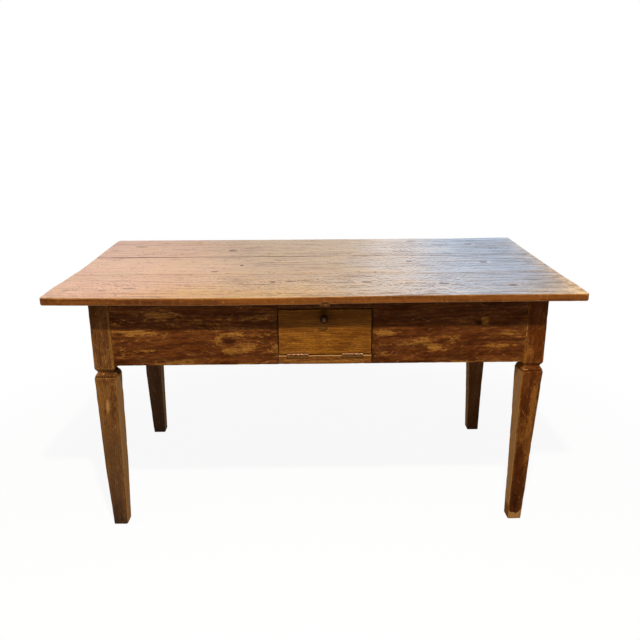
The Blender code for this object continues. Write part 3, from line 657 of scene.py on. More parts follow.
def iron_finish(name, rust):
    """Old iron: a brown skin with rust spots, painted bright along the top of each barrel and paler at screw
    rims.
    """
    material, shader, start = new_finish(name)
    place = start.node("TexCoord", output="Object")
    cloud = drawn(place, 140.0, 140.0, 4.0, 0.6)
    grit = drawn(place, 900.0, 900.0, 2.0)
    proud = trait(start, "proud")
    rusty = limit(rise(cloud + 0.2 * (grit - 0.5), 0.62 - 0.3 * rust, 0.80 - 0.3 * rust) - 0.75 * proud)
    # Painted highlight: bright on the top front of each barrel, dark on its lower half
    colour = tint(proud, (0.070, 0.024, 0.008), (0.43, 0.235, 0.145))
    colour = tint(rusty, colour, tint(grit, (0.150, 0.052, 0.008), (0.250, 0.096, 0.016)))
    roughness = 0.34 + 0.35 * rusty + 0.15 * grit
    metallic = limit(0.25 + 0.45 * proud - 0.25 * rusty)
    connect(shader, colour, roughness, 0.12 * grit + 0.25 * cloud, 0.1, metallic=metallic)
    return material


def knob_finish(name):
    """Dark turned knob: the middle of its face is paler and smoother, partly handled wear, partly a painted
    highlight; fine turning lines.
    """
    material, shader, start = new_finish(name)
    wood = timber(start, STANDING, (0.02, -0.36), 0.0026, 4.1)
    worn_and_lit_face = limit(trait(start, "face") * (0.75 + 0.5 * wood.speck))
    colour = layered(
        tint(wood.streak, (0.026, 0.008, 0.002), (0.050, 0.017, 0.005)),
        (0.5 * wood.late, (0.014, 0.005, 0.002)),
        (worn_and_lit_face, (0.115, 0.056, 0.030)),
    )
    turning = start.maths("SINE", 2600.0 * wood.across)
    roughness = 0.42 - 0.08 * worn_and_lit_face + 0.1 * wood.streak
    connect(shader, colour, roughness, 0.02 * turning - 0.08 * wood.fibre, 0.0, 0.08 + 0.10 * worn_and_lit_face, 0.3)
    return material


def peg_finish(name):
    """End grain of whittled pegs: short radial checks and a dark rim of old stain."""
    material, shader, start = new_finish(name)
    place = start.node("TexCoord", output="Object")
    rings = drawn(place, 520.0, 520.0, 3.0, 0.6)
    cloud = drawn(place, 60.0, 60.0, 2.0)
    colour = layered(
        tint(rings, (0.050, 0.016, 0.004), (0.115, 0.042, 0.010)),
        (0.5 * cloud, (0.05, 0.018, 0.006)),
        (0.8 * trait(start, "rim"), (0.018, 0.007, 0.003)),
    )
    connect(shader, colour, 0.5 + 0.25 * rings, 0.3 * rings, 0.1)
    return material


def place_of(rings):
    """The three coordinates of every place, as views, so that a change to them moves the rings."""
    return rings[..., 0], rings[..., 1], rings[..., 2]


# Table top. A droop is (place along, depth). Knots and other marks are given as their middle, their half
# sizes and their strength, and a score as its two ends

LIP_START, LIP_REACH = -0.352, 0.079
FRONT_DROOP = [
    (-HALF_LENGTH, 0.0), (-0.6, 0.0022), (-0.35, 0.0044), (-0.15, 0.0042), (0.0, 0.0034), (0.1, 0.0022),
    (0.2, 0.0013), (0.4, 0.0004), (0.6, 0.0),
]
BACK_LIP_START, BACK_LIP_REACH = 0.37, 0.061
BACK_DROOP = 0.0026
KNOTS_FRONT = [
    (-0.132, -0.266, 0.010, 0.009, 0.9),
    (-0.080, -0.260, 0.016, 0.008, 0.7),
    (-0.229, -0.240, 0.062, 0.005, 0.55),
    (-0.180, -0.294, 0.072, 0.005, 0.5),
    (-0.562, -0.330, 0.022, 0.008, 0.55),
    (0.160, -0.275, 0.018, 0.010, 0.8),
    (0.395, -0.300, 0.016, 0.010, 0.8),
    (0.600, -0.325, 0.014, 0.012, 0.8),
]
KNOTS_MIDDLE = [
    (-0.330, -0.125, 0.014, 0.008, 0.95),
    (-0.248, -0.038, 0.008, 0.011, 0.9),
    (0.330, 0.010, 0.012, 0.012, 0.7),
    (0.585, -0.010, 0.014, 0.016, 0.7),
]
KNOTS_BACK = [
    (-0.303, 0.208, 0.016, 0.018, 0.75),
    (-0.660, 0.288, 0.025, 0.014, 0.5),
    (0.390, 0.365, 0.022, 0.014, 0.6),
    (0.600, 0.300, 0.016, 0.016, 0.7),
]
SCORES_FRONT = [
    ((0.307, -0.386), (0.435, -0.297)),
    ((0.368, -0.307), (0.426, -0.412)),
    ((0.494, -0.323), (0.542, -0.394)),
]
EDGE_MARKS = [
    (-0.78, 0.78, 0.18, 1.0, -0.06),
    (0.27, 0.78, 0.20, 1.0, 0.08),
    (0.74, 0.78, 0.12, 1.0, -0.06),
]
BUSY = [
    (-0.63, -0.30, 0.10, 0.12, 0.9),
    (-0.05, -0.30, 0.24, 0.10, 0.8),
    (0.36, -0.30, 0.18, 0.10, 0.9),
    (0.34, 0.12, 0.18, 0.28, 0.9),
    (-0.47, 0.03, 0.08, 0.26, -0.6),
]
GOLDEN = [
    (-0.330, -0.367, 0.13, 0.07, 1.0),
    (-0.060, -0.390, 0.12, 0.05, 0.7),
    (-0.420, 0.330, 0.12, 0.08, 0.5),
    (-0.300, -0.180, 0.10, 0.06, 0.6),
    (-0.480, -0.060, 0.09, 0.14, 0.6),
]
DIM = [
    (-0.47, 0.05, 0.10, 0.24, 0.10),
    (0.61, 0.20, 0.15, 0.20, 0.16),
]
# Places close to a seam, reaches of wear, and how far the sawn ends stand back along the width
SEAM_STEPS = np.array([0.0010, 0.0045, 0.0065, 0.0085])
SEAM_REACH = 0.006
END_WEAR_REACH = 0.036
FRONT_CORNER_RADIUS, BACK_CORNER_RADIUS = 0.014, 0.012
TRIM_START, CORNER_START = 0.60, 0.75
TRIM_PLACES = (-0.431, -0.30, -0.25, -0.20, -0.15, -0.10, -0.04, 0.10, 0.23, 0.30, 0.431)
TRIM_LEFT = (0.0, 0.0010, 0.0060, 0.0085, 0.0110, 0.0143, 0.0160, 0.0163, 0.0148, 0.0150, 0.0155)
TRIM_RIGHT = (0.0, 0.0, 0.0024, 0.0045, 0.0050, 0.0050, 0.0055, 0.0060, 0.0055, 0.0040, 0.0035)


def end_trim(x, y):
    """How far places near the ends move inwards: the ends are sawn a little out of square, and the corners of
    the top are worn to quarter circles."""
    radius = np.where(y > 0, BACK_CORNER_RADIUS, FRONT_CORNER_RADIUS)
    arc = round_over(np.abs(y) - (HALF_WIDTH - radius), radius)
    trim = np.where(x > 0, np.interp(y, TRIM_PLACES, TRIM_RIGHT), np.interp(y, TRIM_PLACES, TRIM_LEFT))
    wide = ramp(np.abs(x), TRIM_START, HALF_LENGTH - TRIM_START) ** 2
    close = ramp(np.abs(x), CORNER_START, HALF_LENGTH - CORNER_START) ** 2
    return -np.sign(x) * (trim * wide + arc * close)


def top_boards():
    """Three planks. The front and back ones droop a little along their overhanging lips."""
    boards = {
        "top_board_front": (KNOTS_FRONT, (-0.27, 0.69), 2.3, (0.0012, 0.0026, 0.0024, 0.001), 11),
        "top_board_middle": (KNOTS_MIDDLE, (-0.05, 0.70), 7.9, (0.0016, 0.0012, 0.001, 0.001), 12),
        "top_board_back": (KNOTS_BACK, (0.24, 0.67), 5.1, (0.0034, 0.0016, 0.001, 0.0025), 13),
    }
    for name, (knots, pith, shift, arrises, seed) in boards.items():
        low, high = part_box(name)
        share = SEAM_STEPS / (high.y - low.y)
        both = np.concatenate([share, 1 - share])
        rings, traits = worn_board(
            low, high, LYING, arrises, seed, spacing=(0.0045, 0.011), rounding=0.0032, hollow=0.0006,
            chip_count=26, extra_shares={OVER: both, UNDER: both},
        )
        x, y, z = place_of(rings)
        lip = ramp(y, LIP_START, -LIP_REACH)
        z -= np.interp(x, *zip(*FRONT_DROOP)) * lip * lip * (3 - 2 * lip)
        back_lip = ramp(y, BACK_LIP_START, BACK_LIP_REACH)
        z -= BACK_DROOP * back_lip**2 * ramp(x, 0.75, -0.2)
        side = traits.pop("side")
        traits["raw"] = (side == UNDER).astype(float)
        outer = {"top_board_front": NEAR, "top_board_back": FAR}.get(name)
        traits["edge"] = np.maximum((side == outer).astype(float), traits.pop("end"))
        joints = {"top_board_front": [high.y], "top_board_back": [low.y]}.get(name, [low.y, high.y])
        beside = np.min([np.abs(y - joint) for joint in joints], axis=0)
        back_joint = 0.9 - 0.75 * ramp(x, -0.05, 0.22)
        front_joint = 0.45 - 0.25 * ramp(x, 0.0, 0.3)
        traits["seam"] = bell(beside, 0, SEAM_REACH) * (1 - traits["raw"])
        traits["joint"] = np.where(y > 0, back_joint, front_joint) * traits["seam"]
        end_wear_and_highlight = np.exp(-(HALF_LENGTH - x) / END_WEAR_REACH) * np.clip(0.85 - 1.2 * y, 0.35, 1.4)
        # The front right corner: worn, and painted paler as a highlight
        end_wear_and_highlight += spots(x, y, [(0.790, -0.410, 0.060, 0.070, 0.8)])
        traits["rubbed"] = end_wear_and_highlight * (1 - traits["raw"])
        traits["busy"], traits["golden"] = spots(x, y, BUSY), spots(x, y, GOLDEN)
        traits["dim"] = spots(x, y, DIM)
        traits["edge_tone"] = spots(x, z, EDGE_MARKS) * (side == NEAR)
        x += end_trim(x, y)
        lines = SCORES_FRONT if name == "top_board_front" else ()
        finish = top_finish(f"{name}_wax", pith, shift, knots, lines)
        add_piece(f"{name}_worn", [(rings, traits)], finish, "table", [name])


TAB_MIDDLE = (0.0245, -0.4300, 0.7725)


def catch_tab():
    """Half-moon tab let into the lower front edge of the top, above the knob: a round-topped outline with a
    flat foot, carried through its thickness and rounded over on both faces."""
    angle = np.linspace(0, 2 * np.pi, 48, endpoint=False)
    half_width, crown, foot = 0.0145, 0.0105, 0.0050
    across = half_width * np.sign(np.cos(angle)) * np.abs(np.cos(angle)) ** 0.75
    up = np.where(np.sin(angle) > 0, crown * np.sin(angle), -foot * np.abs(np.sin(angle)) ** 0.3)
    through = np.array([-0.00065, -0.00060, -0.00035, 0.0002, 0.004, 0.0052, 0.0055])[:, None]
    share = np.array([0.90, 0.95, 0.985, 1.0, 1.0, 0.97, 0.92])[:, None]
    body = np.stack(np.broadcast_arrays(share * across, through, share * up), axis=-1) + TAB_MIDDLE
    rings = with_ends(body)
    rounded = np.broadcast_to(share < 0.99, body.shape[:2])
    traits = {
        "arris": end_values(rounded * 1.0, 0.2, 0.2),
        "rubbed": np.full(rings.shape[:2], 0.2),
        # Painted highlight: the upper rim is paler where light from above falls on it
        "pale": end_values((rounded & (share > 0.93) & (up > 0.004)) * 0.55, 0.0, 0.0),
    }
    stain = Stain((0.13, 0.050, 0.014), (0.25, 0.105, 0.032), (0.055, 0.018, 0.005), (0.11, 0.04, 0.011), 0.0)
    finish = stained_finish("catch_tab_wear", FRONT_FACING, (0.7, -0.3), 6.6, stain)
    add_piece("catch_tab", [(rings, traits)], finish, "table")


# Aprons, rails and flap. Patches, dark marks and knots are given as on the top; some dark marks are painted
# shade

APRON_STAIN = Stain(
    (0.215, 0.076, 0.011), (0.390, 0.172, 0.032), (0.055, 0.0125, 0.0022), (0.168, 0.0480, 0.0080), 0.0
)
RAIL_STAIN = Stain(
    (0.210, 0.075, 0.012), (0.345, 0.145, 0.028), (0.110, 0.0330, 0.0055), (0.205, 0.0680, 0.0110), 0.02
)
OVER_FLAP_STAIN = Stain(
    (0.150, 0.048, 0.009), (0.240, 0.090, 0.020), (0.075, 0.0200, 0.0040), (0.140, 0.0420, 0.0080), 0.0
)
FLAP_STAIN = Stain(
    (0.225, 0.078, 0.008), (0.345, 0.130, 0.015), (0.135, 0.0420, 0.0045), (0.255, 0.0900, 0.0095), 0.02
)
LEFT_PATCHES = [
    (-0.545, 0.668, 0.045, 0.008, 0.9),
    (-0.520, 0.612, 0.045, 0.006, 0.9),
    (-0.255, 0.660, 0.055, 0.008, 0.8),
    (-0.262, 0.606, 0.030, 0.012, 0.8),
    (-0.300, 0.638, 0.014, 0.016, 0.6),
    (-0.205, 0.622, 0.030, 0.020, 0.5),
    (-0.150, 0.660, 0.030, 0.010, 0.6),
    (-0.130, 0.610, 0.040, 0.020, 0.45),
    (-0.440, 0.575, 0.060, 0.006, 0.5),
    (-0.590, 0.600, 0.012, 0.020, 0.6),
    # This patch and the next three lie in the top's shade and lighten it: partly wear, partly painted light
    (-0.600, 0.700, 0.018, 0.014, 0.5),
    (-0.480, 0.725, 0.080, 0.016, 0.45),
    (-0.330, 0.700, 0.090, 0.018, 0.40),
    (-0.190, 0.715, 0.060, 0.020, 0.40),
]
RIGHT_PATCHES = [
    (0.215, 0.662, 0.035, 0.010, 1.1),
    (0.335, 0.640, 0.040, 0.010, 0.5),
    (0.360, 0.612, 0.030, 0.011, 0.9),
    (0.270, 0.628, 0.080, 0.004, 0.6),
    (0.560, 0.620, 0.060, 0.006, 0.8),
    (0.512, 0.702, 0.014, 0.016, 0.9),
    (0.420, 0.640, 0.018, 0.018, 0.5),
    (0.585, 0.655, 0.020, 0.012, 0.5),
    (0.200, 0.600, 0.020, 0.020, 0.4),
]
# Dark spots at a knot and beside it; the thin strip beside the flap's gap is painted shade
LEFT_GRIME_AND_SHADE = [
    (-0.262, 0.641, 0.022, 0.010, 1.0),
    (-0.150, 0.648, 0.022, 0.014, 0.7),
    (-0.117, 0.67, 0.003, 0.09, 1.2),
]
# Dark spots at a knot and round a nail; the band under the top and the strip beside the flap's gap are
# painted shade
RIGHT_GRIME_AND_SHADE = [
    (0.4945, 0.694, 0.012, 0.010, 1.2),
    (0.38, 0.73, 0.22, 0.020, 0.3),
    (0.176, 0.588, 0.008, 0.010, 0.9),
    (0.171, 0.67, 0.003, 0.09, 1.2),
]
KNOTS_LEFT = [(-0.265, 0.640, 0.018, 0.008, 0.75)]
KNOTS_RIGHT = [(0.4945, 0.694, 0.009, 0.008, 0.9)]


# Painted shade under the top's overhang: the height where it starts and how far it reaches
TOP_SHADOW_START, TOP_SHADOW_REACH = 0.742, 0.03
APRON_ROUNDING = 0.0014
RAIL_ROUNDING = 0.0008
BOTH_TENONS = (TENON_LENGTH, TENON_LENGTH)
RECESS = LEAF_THICKNESS + RECESS_PLAY
LEAF_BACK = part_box("hinge_left_fixed_leaf")[1].y + 0.0002


def dress_panel(node, cut, axes, arrises, seed, raw_side, finish, patches=(), grime=(), **more):
    """One board of the frame, cut short by its tenons, with rubbed patches and dark marks laid on by place,
    and painted shade towards its top.
    """
    low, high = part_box(node)
    low[axes[0]] += cut[0]
    high[axes[0]] -= cut[1]
    rings, traits = worn_board(low, high, axes, arrises, seed, **more)
    x, y, z = place_of(rings)
    traits["raw"] = (traits.pop("side") == raw_side).astype(float)
    run = (x, y)[axes[0]]
    traits["rubbed"] = spots(run, z, patches) * (1 - traits["raw"])
    # Painted shade: darker towards the top, under the overhang of the table top
    top_shadow = ramp(z, TOP_SHADOW_START, TOP_SHADOW_REACH)
    traits["grime"] = spots(run, z, grime) + 0.6 * top_shadow + 0.5 * traits.pop("end")
    add_piece(f"{node}_worn", [(rings, traits)], finish, "table", [node])


def aprons():
    """Front, back and end boards between the legs, each with its own pith, marks and seed."""
    fronts = {
        "left": ((TENON_LENGTH, 0), (0.55, -0.62), 1.3, KNOTS_LEFT, 21, LEFT_PATCHES, LEFT_GRIME_AND_SHADE),
        "right": ((0, TENON_LENGTH), (0.60, -0.60), 8.7, KNOTS_RIGHT, 22, RIGHT_PATCHES, RIGHT_GRIME_AND_SHADE),
    }
    for side, (cut, pith, shift, knots, seed, patches, grime) in fronts.items():
        look = f"apron_{side}_stain"
        finish = stained_finish(look, FRONT_FACING, pith, shift, APRON_STAIN, knots, flake=40.0)
        dress_panel(f"apron_front_{side}", cut, FRONT_FACING, (0.001, 0.0022, 0.0026, 0.0012), seed, OVER,
                    finish, patches, grime, spacing=(0.004, 0.009), rounding=APRON_ROUNDING)

    finish = stained_finish("apron_back_stain", FRONT_FACING, (0.58, 0.60), 4.9, APRON_STAIN)
    dress_panel("apron_back", BOTH_TENONS, FRONT_FACING, (0.0012, 0.0026, 0.0022, 0.001), 23, UNDER, finish,
                [(-0.3, 0.64, 0.06, 0.01, 0.8), (0.42, 0.61, 0.07, 0.012, 0.8)],
                spacing=(0.005, 0.011), rounding=APRON_ROUNDING)

    for side, seed, raw_side in (("left", 24, OVER), ("right", 25, UNDER)):
        node = f"apron_end_{side}"
        finish = stained_finish(f"{node}_stain", END_FACING, (0.57, 0.3), 0.7 * seed, APRON_STAIN)
        dress_panel(node, BOTH_TENONS, END_FACING, (0.0012, 0.0024, 0.0024, 0.0012), seed, raw_side, finish,
                    [(-0.1, 0.63, 0.07, 0.012, 0.8), (0.16, 0.60, 0.05, 0.01, 0.7)],
                    spacing=(0.005, 0.010), rounding=APRON_ROUNDING)


def hinge_spans(play=0.0):
    """Left and right end of each hinge's leaves, widened by the play."""
    leaves = [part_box(f"hinge_{side}_fixed_leaf") for side in ("left", "right")]
    return [(low.x - play, high.x + play) for low, high in leaves]


def recess_stations(low_x):
    """Pairs of stations that stand close on both sides of each recess wall."""
    walls = np.array(hinge_spans(RECESS_PLAY)).ravel() - low_x
    return np.concatenate([walls - WALL_STEP, walls + WALL_STEP])


def let_in(rings, level, up):
    """Lets the leaves into an edge: within each hinge's span and in front of the leaf's back, heights are
    pushed to the recess level, upwards for the flap and downwards for the rail."""
    x, y, z = place_of(rings)
    inside = np.any([(x > start) & (x < end) for start, end in hinge_spans(RECESS_PLAY)], axis=0)
    inside &= y < LEAF_BACK
    z[inside] = (np.maximum if up else np.minimum)(z[inside], level)


def upper_rail():
    """Rail over the flap, between its stub tenons."""
    finish = stained_finish("flap_rail_top_stain", FRONT_FACING, (0.5, -0.6), 3.3, OVER_FLAP_STAIN)
    # Painted shade along its top, where the table top overhangs it
    dress_panel("flap_rail_top", (STUB_LENGTH, STUB_LENGTH), FRONT_FACING, (0.001, 0.0014, 0.0018, 0.001), 31,
                OVER, finish, grime=[(0.02, 0.765, 0.3, 0.01, 0.2)], spacing=(0.004, 0.007),
                rounding=RAIL_ROUNDING)


def lower_rail():
    """Rail under the flap: the leaves are let into its edge. A pale band along its lip, a bell curve of the
    height, is a painted highlight, and lower down painted light fills the cast shadow of each hinge barrel."""
    low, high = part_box("flap_rail_bottom")
    low.x += STUB_LENGTH
    high.x -= STUB_LENGTH
    back_share = (high.y - LEAF_BACK) / (high.y - low.y)
    lip_steps = np.array([0.0030, 0.0042, 0.0050, 0.0056, 0.0062, 0.0070, 0.0082, 0.0100])
    finish = stained_finish("flap_rail_bottom_stain", FRONT_FACING, (0.44, -0.58), 9.4, RAIL_STAIN)
    rings, traits = worn_board(
        low, high, FRONT_FACING, (0.0008, 0.0018, 0.0024, 0.0009), 32, spacing=(0.004, 0.007),
        rounding=RAIL_ROUNDING, hollow=0.0002, extra_stations=recess_stations(low.x),
        extra_shares={
            UNDER: 1 - lip_steps / (high.z - low.z),
            FAR: [1 - back_share - 0.004, 1 - back_share + 0.004],
        },
    )
    let_in(rings, high.z - RECESS, False)
    side = traits.pop("side")
    traits["raw"] = (side == OVER).astype(float)
    x, y, z = place_of(rings)
    traits["rubbed"] = spots(x, z, [(0.02, 0.572, 0.12, 0.006, 0.6), (0.1, 0.585, 0.05, 0.008, 0.4)])
    # Painted highlight: a pale band along the lip, where its top edge catches the light
    lip = bell(z, high.z - 0.0056, 0.0020) * (side != OVER) * (y < LEAF_BACK)
    hinge_shadow_fill = bell(z, high.z - 0.0090, 0.0050)
    traits["pale"] = 1.10 * lip
    # Painted light in the shadow that each hinge barrel casts on the rail
    for start, end in hinge_spans():
        below = (x > start) & (x < end) & (side == UNDER)
        traits["pale"] = np.where(below, 0.70 * hinge_shadow_fill, traits["pale"])
        traits["rubbed"] += 1.2 * below * hinge_shadow_fill
    traits["grime"] = 0.8 * traits.pop("end")
    add_piece("flap_rail_bottom_worn", [(rings, traits)], finish, "table", ["flap_rail_bottom"])


def flap():
    """The drop flap: the leaves are let into its lower edge, its rim is rubbed pale and its middle worn.
    Painted shade darkens its upper part and the face above the knob, and painted light fills the knob's cast
    shadow."""
    low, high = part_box("flap_board")
    back_share = (high.y - LEAF_BACK) / (high.y - low.y)
    near_ends = [0.003, high.x - low.x - 0.003]
    finish = stained_finish("flap_board_stain", FRONT_FACING, (0.95, -0.55), 6.1, FLAP_STAIN)
    rings, traits = worn_board(
        low, high, FRONT_FACING, (0.0042, 0.001, 0.0012, 0.0016), 33, spacing=(0.004, 0.006), rounding=0.0013,
        hollow=0.0003, extra_stations=np.concatenate([recess_stations(low.x), near_ends]),
        extra_shares={NEAR: [back_share - 0.004, back_share + 0.004]},
    )
    let_in(rings, low.z + RECESS, True)
    side = traits.pop("side")
    x, _, z = place_of(rings)
    knob_x, _, knob_z = LATCH_AXIS
    traits["raw"] = (side == OVER).astype(float)
    seen = 1 - traits["raw"]
    # The second patch is painted light in the knob's cast shadow
    traits["rubbed"] = seen * spots(x, z, [(0.03, 0.63, 0.16, 0.05, 0.5), (knob_x, 0.678, 0.012, 0.009, 1.2)])
    # Painted shade above the knob and along the upper part, under the table top
    traits["grime"] = seen * spots(x, z, [
        (knob_x, knob_z + 0.008, 0.017, 0.022, 0.7), (0.03, 0.735, 0.2, 0.045, 0.35),
    ])
    rim = np.minimum(np.minimum(x - low.x, high.x - x), high.z - z)
    traits["pale"] = 0.52 * bell(rim, 0, 0.0022) * seen * (1 - traits.pop("end"))
    # Painted light: lightens the knob's cast shadow below it
    knob_shadow_fill = spots(x, z, [(knob_x, 0.6830, 0.0135, 0.0105, 1.4)])
    traits["pale"] += (side == UNDER) * np.minimum(knob_shadow_fill, 0.42)
    add_piece("flap_board_worn", [(rings, traits)], finish, "flap", ["flap_board"])


# Legs. Rows of swell, bow and twist are (height, amount)

LEG_STAINS = {
    "front_left": Stain(
        (0.180, 0.070, 0.014), (0.295, 0.130, 0.033), (0.090, 0.030, 0.0070), (0.172, 0.061, 0.014), 0.0
    ),
    "front_right": Stain(
        (0.195, 0.064, 0.009), (0.315, 0.118, 0.021), (0.080, 0.0180, 0.0020), (0.165, 0.044, 0.0055), 0.0
    ),
    "back_left": Stain(
        (0.16, 0.070, 0.027), (0.24, 0.112, 0.046), (0.080, 0.034, 0.0135), (0.160, 0.070, 0.0280), 0.0
    ),
    "back_right": Stain(
        (0.21, 0.088, 0.026), (0.31, 0.142, 0.045), (0.105, 0.036, 0.0095), (0.215, 0.076, 0.0200), 0.0
    ),
}
# Heights of collar, waist and block: those of the solids, and the two front legs' own
LEG_NECK = (0.5242, 0.5497, 0.5627)
LEG_NECKS = {"front_left": (0.5242, 0.5418, 0.5548), "front_right": (0.5316, 0.5497, 0.5627)}
LEG_LEAN = {"front_right": -0.012}
LEG_SWELL = {
    "front_left": [
        (0.0, 0.0035), (0.05, 0.0045), (0.20, 0.0065), (0.31, 0.0045), (0.48, 0.0010), (0.524, 0.0),
    ],
    "front_right": [(0.0, 0.0025), (0.10, 0.0025), (0.20, 0.0), (0.524, 0.0)],
    "back_left": [(0.0, 0.0055), (0.28, 0.0065), (0.45, 0.0030), (0.524, 0.0)],
    "back_right": [(0.0, 0.0045), (0.15, 0.0032), (0.28, 0.0042), (0.45, 0.0020), (0.524, 0.0)],
}
LEG_BOW = {
    "back_left": [(0.0, -0.0048), (0.28, -0.0088), (0.45, -0.0040), (0.524, 0.0)],
    "back_right": [(0.0, -0.0012), (0.15, -0.0026), (0.28, -0.0036), (0.524, 0.0)],
}
LEG_FORWARD = {"back_right": 0.009}
LEG_TWIST = {
    "front_left": [(0.0, -0.02), (0.5242, -0.03), (0.5497, -0.01), (0.5627, 0.0)],
    "front_right": [(0.0, 0.02), (0.30, 0.06), (0.5242, 0.09), (0.5497, 0.04), (0.5627, 0.0)],
}
LEG_WORN_ARRIS = {"front_left": (3, 0.0050), "front_right": (2, 0.0015)}
LEG_ROUNDING = 0.0028
LEG_ARRIS = 0.0022
LEG_SOFTENING = 0.0006
# Each leg's own marks: the trait, the faces that have it, and the spots
LEG_MARKS = {
    "front_left": [
        ("rubbed", "front", [
            (-0.66, 0.47, 0.03, 0.07, 0.7), (-0.655, 0.30, 0.03, 0.12, 0.6), (-0.65, 0.12, 0.03, 0.08, 0.3),
            (-0.645, 0.59, 0.02, 0.03, 0.5), (-0.665, 0.69, 0.02, 0.03, 0.3),
            # Strip on the inner arris of the block: worn, and painted paler as a highlight where the arris
            # catches light
            (-0.622, 0.66, 0.006, 0.09, 0.9),
        ]),
        ("grime", "all", [(-0.65, 0.005, 0.04, 0.022, 1.2), (-0.628, 0.541, 0.007, 0.007, 2.0)]),
        ("grime", "front", [(-0.655, 0.28, 0.05, 0.07, 0.35), (-0.66, 0.07, 0.03, 0.04, 0.5)]),
        ("pale", "front", [
            (-0.651, 0.43, 0.0070, 0.030, 0.95), (-0.678, 0.5242, 0.010, 0.0016, 0.7),
            (-0.653, 0.537, 0.003, 0.003, 0.8),
        ]),
    ],
    "front_right": [
        ("rubbed", "front", [
            (0.675, 0.30, 0.02, 0.05, 0.8), (0.668, 0.38, 0.02, 0.03, 0.5), (0.680, 0.20, 0.012, 0.09, 0.5),
            (0.66, 0.61, 0.02, 0.03, 0.4), (0.685, 0.45, 0.010, 0.06, 0.9),
        ]),
        # Strip on the inner arris: worn, and painted paler as a highlight where the arris catches light
        ("pale", "all", [(0.642, 0.66, 0.0022, 0.07, 0.55)]),
        ("pale", "outer", [
            (0.634, 0.5316, 0.010, 0.0013, 0.8), (0.648, 0.5394, 0.010, 0.0014, 0.9),
            (0.672, 0.5374, 0.020, 0.0011, 0.55),
        ]),
        ("grime", "front", [(0.655, 0.075, 0.012, 0.045, 0.7)]),
    ],
}


def leg_width(height, collar, waist, block):
    """Width of a leg at a height: straight lines from foot to collar, over the quirk to the waist and out to
    the block, softened by a narrow bell curve."""
    step = 0.0002
    fine = np.arange(-0.01, 0.81, step)
    heights, widths = np.array([
        (0.0, 0.0410), (collar, 0.0670), (collar + 0.0043, 0.0622), (collar + 0.0055, 0.0646),
        (waist, 0.0480), (block, 0.0620), (0.8, 0.0620),
    ]).T
    reach = np.arange(-0.003, 0.00301, step)
    weight = np.exp(-((reach / LEG_SOFTENING) ** 2) / 2)
    soft = np.convolve(np.interp(fine, heights, widths), weight / weight.sum(), mode="same")
    return np.interp(height, fine, soft)


def along_leg(table, corner, heights):
    """A leg's rows of (height, value) joined by straight lines, or 0 where the table has none for it."""
    return np.interp(heights, *zip(*table.get(corner, [(0, 0)])))


